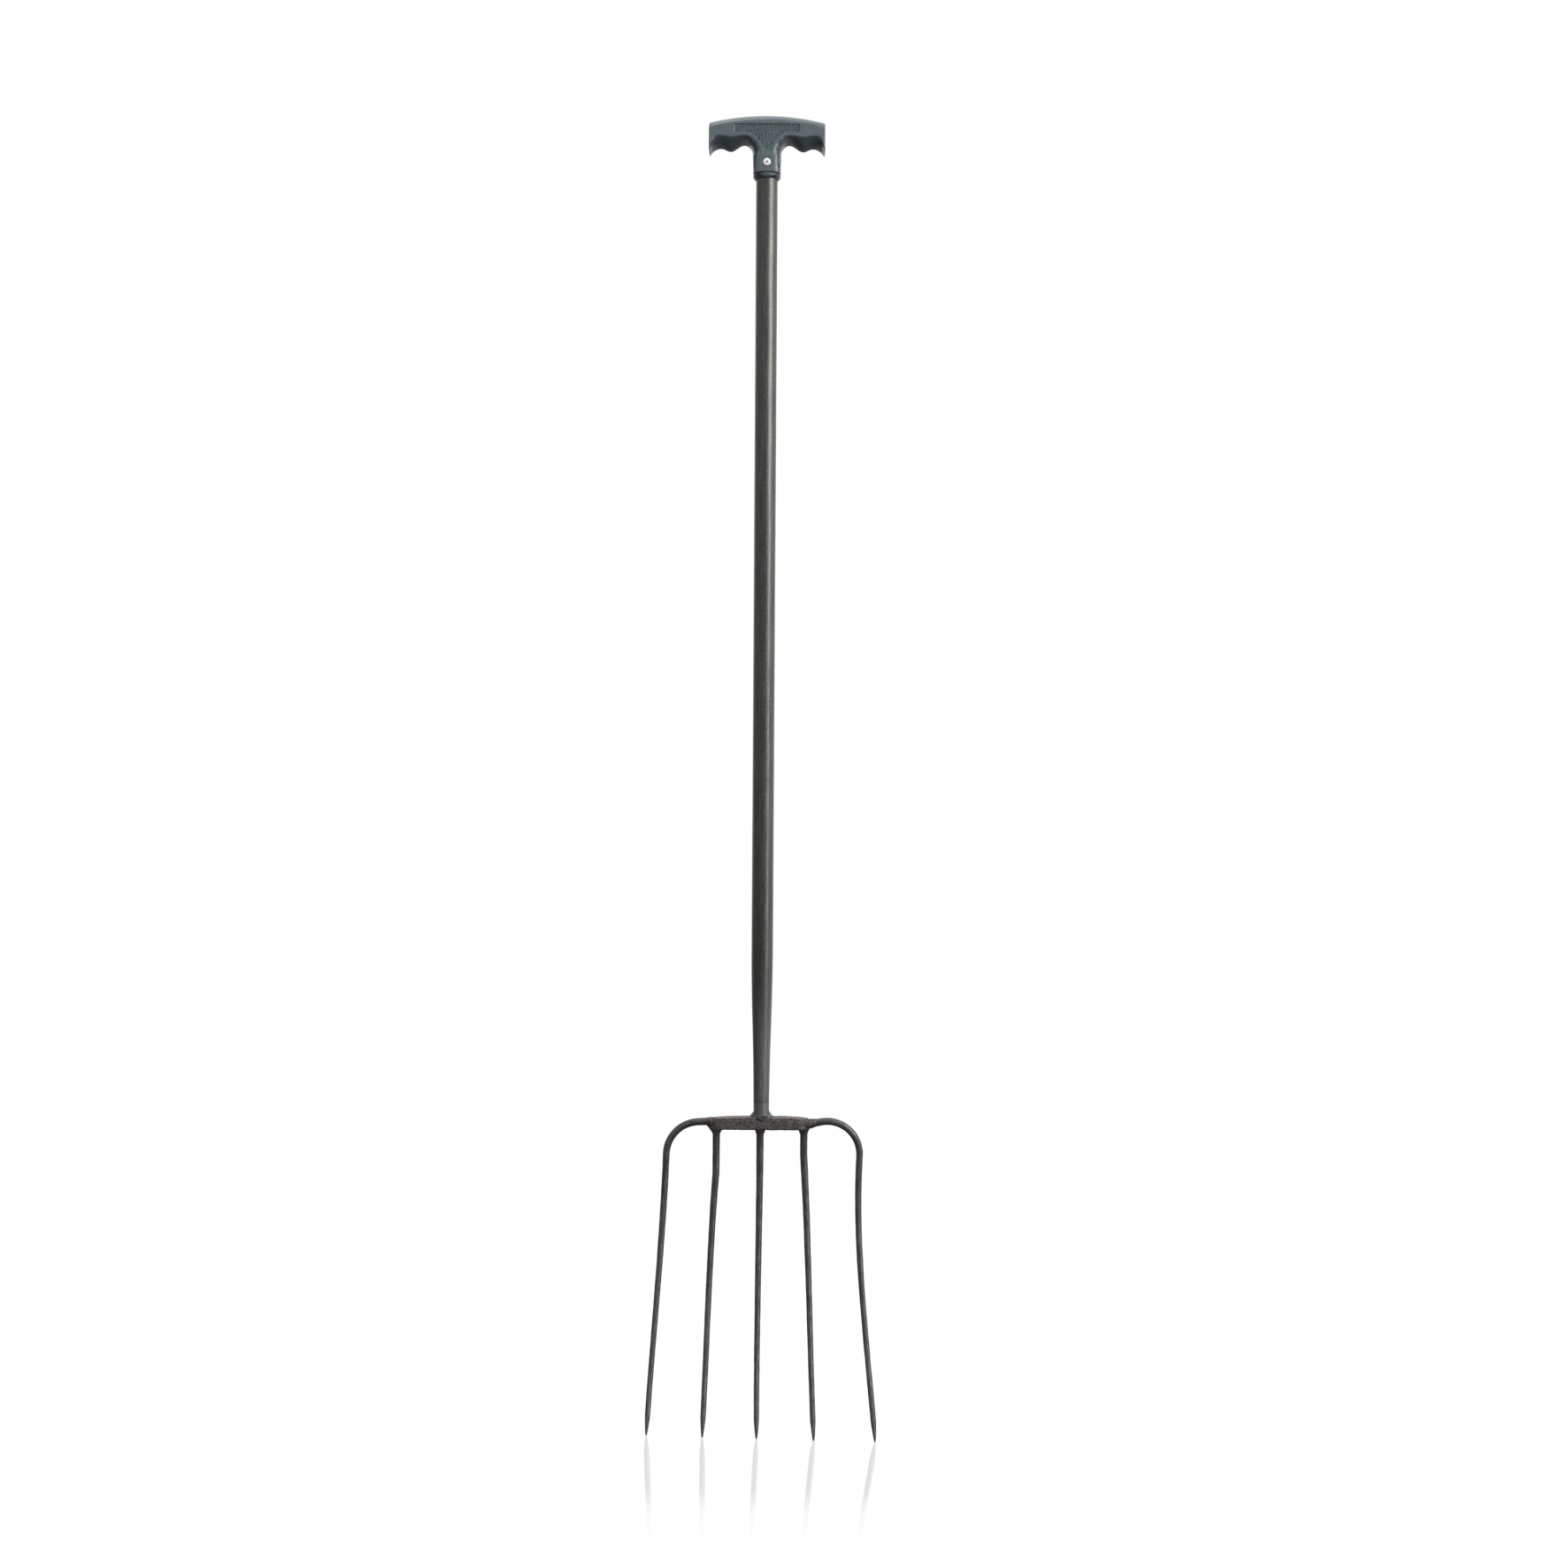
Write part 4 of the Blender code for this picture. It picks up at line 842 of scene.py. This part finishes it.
class Nodes:
    """The shader nodes of a material, or of the world, in the making."""

    def __init__(self, owner):
        owner.use_nodes = True
        self.owner, self.tree, self.normal = owner, owner.node_tree, {}

    def feed(self, socket, value):
        """Links a socket to another node's output, or sets it to a number or a colour."""
        if isinstance(value, bpy.types.NodeSocket):
            self.tree.links.new(value, socket)
        else:
            socket.default_value = (*value, 1) if socket.type == "RGBA" else value

    def node(self, kind, inputs=(), **settings):
        """The outputs of a new node, whose inputs are linked or set."""
        made = self.tree.nodes.new(kind)
        for key, value in settings.items():
            setattr(made, key, value)
        for key, value in dict(inputs).items():
            self.feed(made.inputs[key], value)
        return made.outputs

    def own(self, coordinates="Object"):
        return self.node("ShaderNodeTexCoord")[coordinates]

    def axes(self):
        """The piece's own X, Y and Z."""
        return self.node("ShaderNodeSeparateXYZ", {"Vector": self.own()})

    def place(self, length=1, attribute=None):
        """Object coordinates, or the piece's own attribute, with the last one scaled."""
        source = self.own()
        if attribute:
            source = self.node("ShaderNodeAttribute", attribute_name=attribute)["Vector"]
        return self.node("ShaderNodeMapping", {"Vector": source, "Scale": (1, 1, length)})[0]

    def ranged(self, value, low, high, start=0, end=1, curve="SMOOTHSTEP"):
        """The value's stretch from low to high, spread from start to end."""
        inputs = {"Value": value, "From Min": low, "From Max": high, "To Min": start, "To Max": end}
        return self.node("ShaderNodeMapRange", inputs, interpolation_type=curve)["Result"]

    def product(self, first, *factors):
        """Outputs and numbers multiplied."""
        for factor in factors:
            first = self.node("ShaderNodeMath", {0: first, 1: factor}, operation="MULTIPLY")[0]
        return first

    def band(self, value, rise, fall):
        """From 0 to 1 along one stretch of the value, and back to 0 along another."""
        return self.product(self.ranged(value, *rise), self.ranged(value, *fall))

    def size_of(self, value):
        """The value without its sign."""
        return self.node("ShaderNodeMath", {0: value}, operation="ABSOLUTE")[0]

    def noise(self, place, size, detail=3, rough=0.5):
        """Noise from 0 to 1, whose lumps are about size millimetres across."""
        inputs = {"Vector": place, "Scale": 1 / (size * MM), "Detail": detail, "Roughness": rough}
        return self.node("ShaderNodeTexNoise", inputs)["Fac"]

    def patches(self, place, size, low, high, detail=3, rough=0.5):
        """The same noise with its stretch from low to high spread from 0 to 1."""
        return self.ranged(self.noise(place, size, detail, rough), low, high)

    def mixed(self, share, first, second):
        """A mix of two colours, each a colour or another node's output."""
        made = self.tree.nodes.new("ShaderNodeMix")
        made.data_type = "RGBA"
        self.feed(made.inputs["Factor"], share)
        for key, colour in (("A", first), ("B", second)):
            self.feed(next(s for s in made.inputs if s.name == key and s.type == "RGBA"), colour)
        return next(s for s in made.outputs if s.type == "RGBA")

    def over(self, tint, share, *masks):
        """Lays up to a share of a tint over the colour, where the masks let it through."""
        self.colour = self.mixed(self.product(*masks, share), self.colour, tint)

    def specked(self, tint, share, *patches):
        """Lays a share of a tint over the colour in patches."""
        self.over(tint, share, self.patches(*patches))

    def bump(self, height, *noise):
        """A bump of the given height in millimetres, on top of the one before it."""
        inputs = {"Height": self.noise(*noise), "Distance": height * MM}
        self.normal = {"Normal": self.node("ShaderNodeBump", inputs | self.normal)["Normal"]}

    def finish(self, roughness, **constants):
        """Joins the outputs to the shader, and sets its constants on its own sockets."""
        constants |= {"Base Color": self.colour, "Roughness": roughness, **self.normal}
        shader = self.tree.nodes["Principled BSDF"]
        for key, value in constants.items():
            self.feed(shader.inputs[key.replace("_", " ")], value)
        return self.owner


def new_material(name):
    return Nodes(bpy.data.materials.new(name))


def moulded_plastic():
    """Satin grey green plastic: cloudy flow marks, pale scuffs, fine spark eroded grain, and
    painted shade on the undersides beside the neck and on the flutes' floors."""
    made = new_material("satin_grey_green_plastic")
    place = made.place()
    across, forward, level = made.axes()
    sideways, outwards = made.size_of(across), made.size_of(forward)
    clouds = made.patches(place, 14, 0.3, 0.7, 4)
    made.colour = made.mixed(clouds, (0.094, 0.126, 0.136), (0.112, 0.145, 0.156))
    made.specked((0.24, 0.27, 0.27), 0.35, made.place(0.35), 2.2, 0.63, 0.76, 6, 0.65)
    made.specked((0.06, 0.075, 0.08), 0.3, place, 5, 0.56, 0.8, 5)
    # Painted shade: darkens the undersides and coves set back from the face, beside the neck,
    # between the cove's bottom and the face's lower edge.
    up_from = (-COVE_DROP - 2 * MM, -COVE_DROP + 2 * MM)
    underside_painted_shade = made.product(
        made.ranged(outwards, FACE_Y - 0.1 * MM, FACE_Y - 1.6 * MM),
        made.ranged(sideways, NECK_HALF_WIDTH - 1 * MM, NECK_HALF_WIDTH + 2 * MM),
        made.band(level, up_from, (FACE_LEVEL + 2 * MM, FACE_LEVEL - 1 * MM)),
    )
    made.over((0.045, 0.058, 0.068), 0.7, underside_painted_shade)
    # Painted shade: darkens the deep half of each flute.
    flute_painted_shade = made.product(
        made.ranged(sideways, 13.6 * MM, 12.2 * MM),
        made.ranged(outwards, 13.2 * MM, 11.6 * MM),
        made.ranged(level, -COVE_DROP, -COVE_DROP - 3 * MM),
    )
    made.over((0.025, 0.033, 0.04), 0.9, flute_painted_shade)
    roughness = made.ranged(made.noise(place, 7, 5), 0.25, 0.75, 0.22, 0.31)
    made.bump(0.012, place, 0.45, 2)
    sheen = {"Coat_Weight": 0.35, "Coat_Roughness": 0.2}
    return made.finish(roughness, Metallic=0, IOR=1.5, **sheen)


def tube_scale():
    """Dark mill scale on drawn tube: streaks along it, fine mottling, rusty specks, a paler
    foot from wear with painted light that keeps it darker at the left, flakes down its
    front, and the brown and blue of heat above the weld."""
    made = new_material("dark_mill_scale_tube")
    across, _, level = made.axes()

    def above_foot(start, end):
        return made.ranged(level, tube_low[2] + start * MM, tube_low[2] + end * MM)

    streak_place, mottle_place = made.place(0.06), made.place(0.45)
    streaks = made.patches(streak_place, 2.4, 0.3, 0.7, 5, 0.6)
    made.colour = made.mixed(streaks, (0.078, 0.082, 0.08), (0.136, 0.132, 0.122))
    mottle = made.patches(mottle_place, 1.3, 0.35, 0.65, 3, 0.6)
    made.over((0.165, 0.16, 0.147), 0.3, mottle)
    made.specked((0.13, 0.075, 0.055), 0.5, mottle_place, 1.3, 0.68, 0.78, 6, 0.7)
    # Painted light: the paler foot is laid on less at the left, so its right side reads lighter
    # where the light falls; the paleness itself is wear.
    painted_light_across = made.ranged(across, -7.5 * MM, -2.5 * MM, 0.3, 1)
    wear_and_painted_light = made.product(above_foot(165, 55), painted_light_across)
    made.over((0.285, 0.285, 0.28), 0.65, wear_and_painted_light)
    front_line = made.band(across, (-2.2 * MM, -0.9 * MM), (1.6 * MM, 0.3 * MM))
    flakes = made.patches(mottle_place, 1.5, 0.52, 0.58, 5, 0.75)
    made.over((0.46, 0.37, 0.34), 0.85, front_line, above_foot(105, 80), flakes)
    cloudy = made.patches(mottle_place, 5, 0.35, 0.65, 5)
    made.over((0.12, 0.09, 0.075), 0.3, above_foot(45, 14), cloudy)
    brown = made.product(above_foot(17.6, 16.4), above_foot(14.9, 15.8))
    made.over((0.11, 0.07, 0.066), 0.4, brown)
    made.over((0.27, 0.285, 0.305), 0.5, above_foot(15, 13))
    roughness = made.mixed(wear_and_painted_light, made.ranged(mottle, 0, 1, 0.27, 0.36), (0.36, 0.36, 0.36))
    made.bump(0.04, mottle_place, 1.4, 3)
    made.bump(0.012, streak_place, 0.8, 2)
    return made.finish(roughness, Metallic=0.85)


def forged_steel(name, dark, light, metallic, rust_share, attribute=None):
    """Dark forged steel: fine patches of scale, brown and light specks, rough lumps and
    pits; where the piece carries its own places, drawn out along them, smoother, and
    browner near the root."""
    made = new_material(name)
    length, deep, dull = (0.22, 0.1, 0) if attribute else (1, 0.3, 0.08)
    place = made.place(length, attribute)
    speck_place = made.place(min(1, 2.5 * length), attribute)
    patches = made.patches(place, 2.6, 0.34, 0.66, 6, 0.7)
    made.colour = made.mixed(patches, dark, light)
    made.specked((0.17, 0.095, 0.08), rust_share, speck_place, 1.2, 0.53, 0.63, 5, 0.7)
    made.specked((0.28, 0.275, 0.265), 0.65, speck_place, 0.9, 0.58, 0.7, 4, 0.7)
    if attribute:
        across, _, level = made.axes()
        below_bar = made.ranged(level, BAR_UNDERSIDE - 26 * MM, BAR_UNDERSIDE - 8 * MM)
        inside_bends = made.ranged(made.size_of(across), 76 * MM, 62 * MM)
        scorched = made.mixed(patches, (0.05, 0.045, 0.043), (0.125, 0.112, 0.104))
        made.over(scorched, 0.8, below_bar, inside_bends)
    roughness = made.ranged(made.noise(place, 2.2, 5), 0.3, 0.7, 0.29 + dull, 0.45 + dull)
    made.bump(deep, place, 1.7, 5, 0.6)
    made.bump(deep * 0.3, speck_place, 0.7, 3)
    return made.finish(roughness, Metallic=metallic)


def blued_weld(name, blue_and_glint_share):
    """Weld metal: dark lumpy beads with brown specks, bluish patches, and painted glints that are
    also smoother.
    """
    made = new_material(name)
    place = made.place()
    patches = made.patches(place, 2.4, 0.35, 0.65, 5, 0.65)
    made.colour = made.mixed(patches, (0.055, 0.05, 0.05), (0.135, 0.125, 0.12))
    made.specked((0.12, 0.16, 0.195), blue_and_glint_share, made.place(1.4), 4, 0.42, 0.58, 4)
    made.specked((0.16, 0.085, 0.07), 0.5, place, 1.4, 0.56, 0.68, 5, 0.7)
    # Painted highlight: pale glints laid over the beads, where the roughness is also lower.
    bright = made.patches(place, 1.3, 0.63, 0.7, 3, 0.6)
    made.over((0.55, 0.62, 0.62), blue_and_glint_share, bright)
    roughness = made.ranged(bright, 0, 1, 0.45, 0.22)
    made.bump(0.3, place, 1.4, 4, 0.6)
    return made.finish(roughness, Metallic=0.75)


def rivet_metal(name, low, high, metallic):
    """Tumbled rivet metal: faint cloudy wear and tiny dents."""
    made = new_material(name)
    place = made.place()
    made.colour = made.mixed(made.patches(place, 1.2, 0.3, 0.7, 4), low, high)
    roughness = made.ranged(made.noise(place, 0.8, 3), 0.3, 0.7, 0.28, 0.4)
    made.bump(0.02, place, 0.7, 3)
    return made.finish(roughness, Metallic=metallic)


# Stage

def floor_finish():
    """Pale floor with a faint polish: white to the camera, with a mirror share that fades
    out in front, behind and at the sides; white behind and dim in front to glossy rays,
    grey to the rest."""
    made = new_material("pale_floor")
    made.tree.nodes.remove(made.tree.nodes["Principled BSDF"])
    across, forward, _ = made.axes()

    def shader(kind, **inputs):
        return made.node(kind, inputs)[0]

    def shader_mix(share, first, second):
        return made.node("ShaderNodeMixShader", {0: share, 1: first, 2: second})[0]

    share = made.product(
        made.ranged(forward, -0.28, -0.19, 0.12, 0.32),
        made.ranged(forward, -0.42, -0.24, 0.3, 1),
        made.ranged(forward, 0.4, 0.05),
        made.band(across, (-0.6, -0.3), (0.6, 0.3)),
    )
    plain = shader("ShaderNodeBsdfDiffuse", Color=(0.08, 0.08, 0.08))
    glow = shader("ShaderNodeEmission", Strength=0.93)
    lit = made.node("ShaderNodeAddShader", {0: plain, 1: glow})[0]
    polish = shader("ShaderNodeBsdfGlossy", Color=(1, 1, 1), Roughness=0.06)
    unseen = shader("ShaderNodeBsdfDiffuse", Color=(0.12, 0.12, 0.125))
    behind = made.ranged(forward, 0, 1.2, 0.15, 0.75)
    level = made.product(behind, made.ranged(across, -2.4, -0.7, 0.3, 1))
    to_glossy = shader("ShaderNodeEmission", Color=(0.92, 0.9, 1), Strength=level)
    rays = made.node("ShaderNodeLightPath")
    surface = shader_mix(rays["Is Glossy Ray"], unseen, to_glossy)
    surface = shader_mix(rays["Is Camera Ray"], surface, shader_mix(share, lit, polish))
    made.feed(made.tree.nodes["Material Output"].inputs["Surface"], surface)
    return made.owner


def make_floor():
    """A wide plate through the tips of the two outer tines."""
    left_low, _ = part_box("left_outer_tine")
    right_low, right_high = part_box("right_outer_tine")
    slope = (right_low[2] - left_low[2]) / (right_high[0] - left_low[0])
    level = left_low[2] - slope * left_low[0]
    corners = FLOOR_REACH * np.array([(-1, -1), (1, -1), (1, 1), (-1, 1)])
    mesh = bpy.data.meshes.new("floor")
    mesh.from_pydata([(x, y, level + slope * x) for x, y in corners], [], [(0, 1, 2, 3)])
    mesh.materials.append(floor_finish())
    floor = added("floor", mesh)


def make_world():
    """White to the camera; to glossy rays white behind and dark at the front left; to the
    rest a soft sky, bright above, black below and dimmer at the front left."""
    world = bpy.data.worlds.new("studio")
    bpy.context.scene.world = world
    made = Nodes(world)
    made.tree.nodes.clear()

    def towards(*direction):
        inputs = {0: made.own("Generated"), 1: direction}
        return made.node("ShaderNodeVectorMath", inputs, operation="DOT_PRODUCT")["Value"]

    def pick(ray, otherwise, chosen):
        inputs = {"Factor": ray, "A": otherwise, "B": chosen}
        return made.node("ShaderNodeMix", inputs, data_type="FLOAT")["Result"]

    upwards, front_left = towards(0, 0, 1), towards(-0.75, -0.66, 0)
    dark = made.product(
        made.ranged(upwards, -0.5, 0.3, 0.1, 0.42, "LINEAR"),
        made.ranged(upwards, 0.52, 0.7, 1, 0.25),
        made.ranged(upwards, 0.3, 0.42, 1, 1.7),
    )
    glossy = pick(made.ranged(front_left, 0, 0.5), 1, dark)
    sky = made.product(
        made.ranged(upwards, -0.2, 1, 0, 1.85, "LINEAR"),
        made.ranged(front_left, -0.2, 0.9, 1.12, 0.55),
    )
    rays = made.node("ShaderNodeLightPath")
    level = pick(rays["Is Glossy Ray"], sky, glossy)
    level = pick(rays["Is Transmission Ray"], level, 1)
    level = pick(rays["Is Camera Ray"], level, 1)
    background = made.node("ShaderNodeBackground", {"Color": (1, 1, 1), "Strength": level})
    made.node("ShaderNodeOutputWorld", {"Surface": background[0]})


def area_light(name, place, target, width, height, level):
    """A soft box that faces its target, with a level of 1 as bright as white paper."""
    lamp = bpy.data.lights.new(name, "AREA")
    lamp.shape = "RECTANGLE"
    lamp.size, lamp.size_y = width, height
    lamp.energy = level * math.pi * width * height
    box = added(name, lamp)
    turn = (Vector(target) - Vector(place)).to_track_quat("-Z", "Y").to_matrix().to_4x4()
    box.matrix_world = Matrix.Translation(place) @ turn
    box.visible_camera = False


def make_lights():
    """A tall soft box at the front right with a bright narrow strip before it, and a soft
    box overhead."""
    azimuth = math.radians(52)
    for name, distance, height, width, length, level in (
        ("key_soft_box", 2, 0.65, 1.7, 1.6, 2.6),
        ("key_strip", 1.95, -0.25, 0.22, 1.7, 5.6),
    ):
        place = (distance * math.sin(azimuth), -distance * math.cos(azimuth), height)
        area_light(name, place, (0, 0, -0.3), width, length, level)
    area_light("overhead_soft_box", (-0.5, -0.5, 1.5), (0, 0, 0), 1.2, 1.2, 1.7)


def make_camera():
    """The photograph's view: 46.73 mm lens, two metres in front, level, a hair rolled."""
    data = bpy.data.cameras.new("camera")
    data.sensor_width = 36
    data.lens = 36 * 2300 / 1772
    camera = added("camera", data)
    upright = Matrix.Rotation(math.radians(90), 4, "X")
    roll = Matrix.Rotation(math.radians(0.351), 4, "Z")
    camera.matrix_world = Matrix.Translation((0.0212, -2.080, -0.6519)) @ upright @ roll
    bpy.context.scene.camera = camera


def make_fork():
    plastic = moulded_plastic()
    make_arms(plastic)
    make_socket(plastic)
    aluminium = rivet_metal("bright_aluminium", (0.85, 0.85, 0.86), (0.95, 0.95, 0.95), 0.1)
    mandrel = rivet_metal("mandrel_wire", (0.12, 0.12, 0.13), (0.2, 0.2, 0.2), 0.9)
    make_rivet(aluminium, mandrel)
    make_tube(tube_scale())
    bar_shades = (0.064, 0.058, 0.056), (0.172, 0.156, 0.146)
    tine_shades = (0.062, 0.063, 0.062), (0.152, 0.151, 0.143)
    root_shades = (0.05, 0.046, 0.045), (0.118, 0.108, 0.102)
    make_crossbar(forged_steel("forged_bar_steel", *bar_shades, 0.5, 0.55))
    make_tines(forged_steel("forged_tine_steel", *tine_shades, 0.7, 0.3, "bar_place"))
    root_bead = forged_steel("forged_weld_steel", *root_shades, 0.6, 0.5)
    make_welds(blued_weld("blued_weld", 0.55), root_bead)


make_camera()
make_world()
make_lights()
make_floor()
make_fork()
bpy.context.scene.view_settings.view_transform = "Standard"
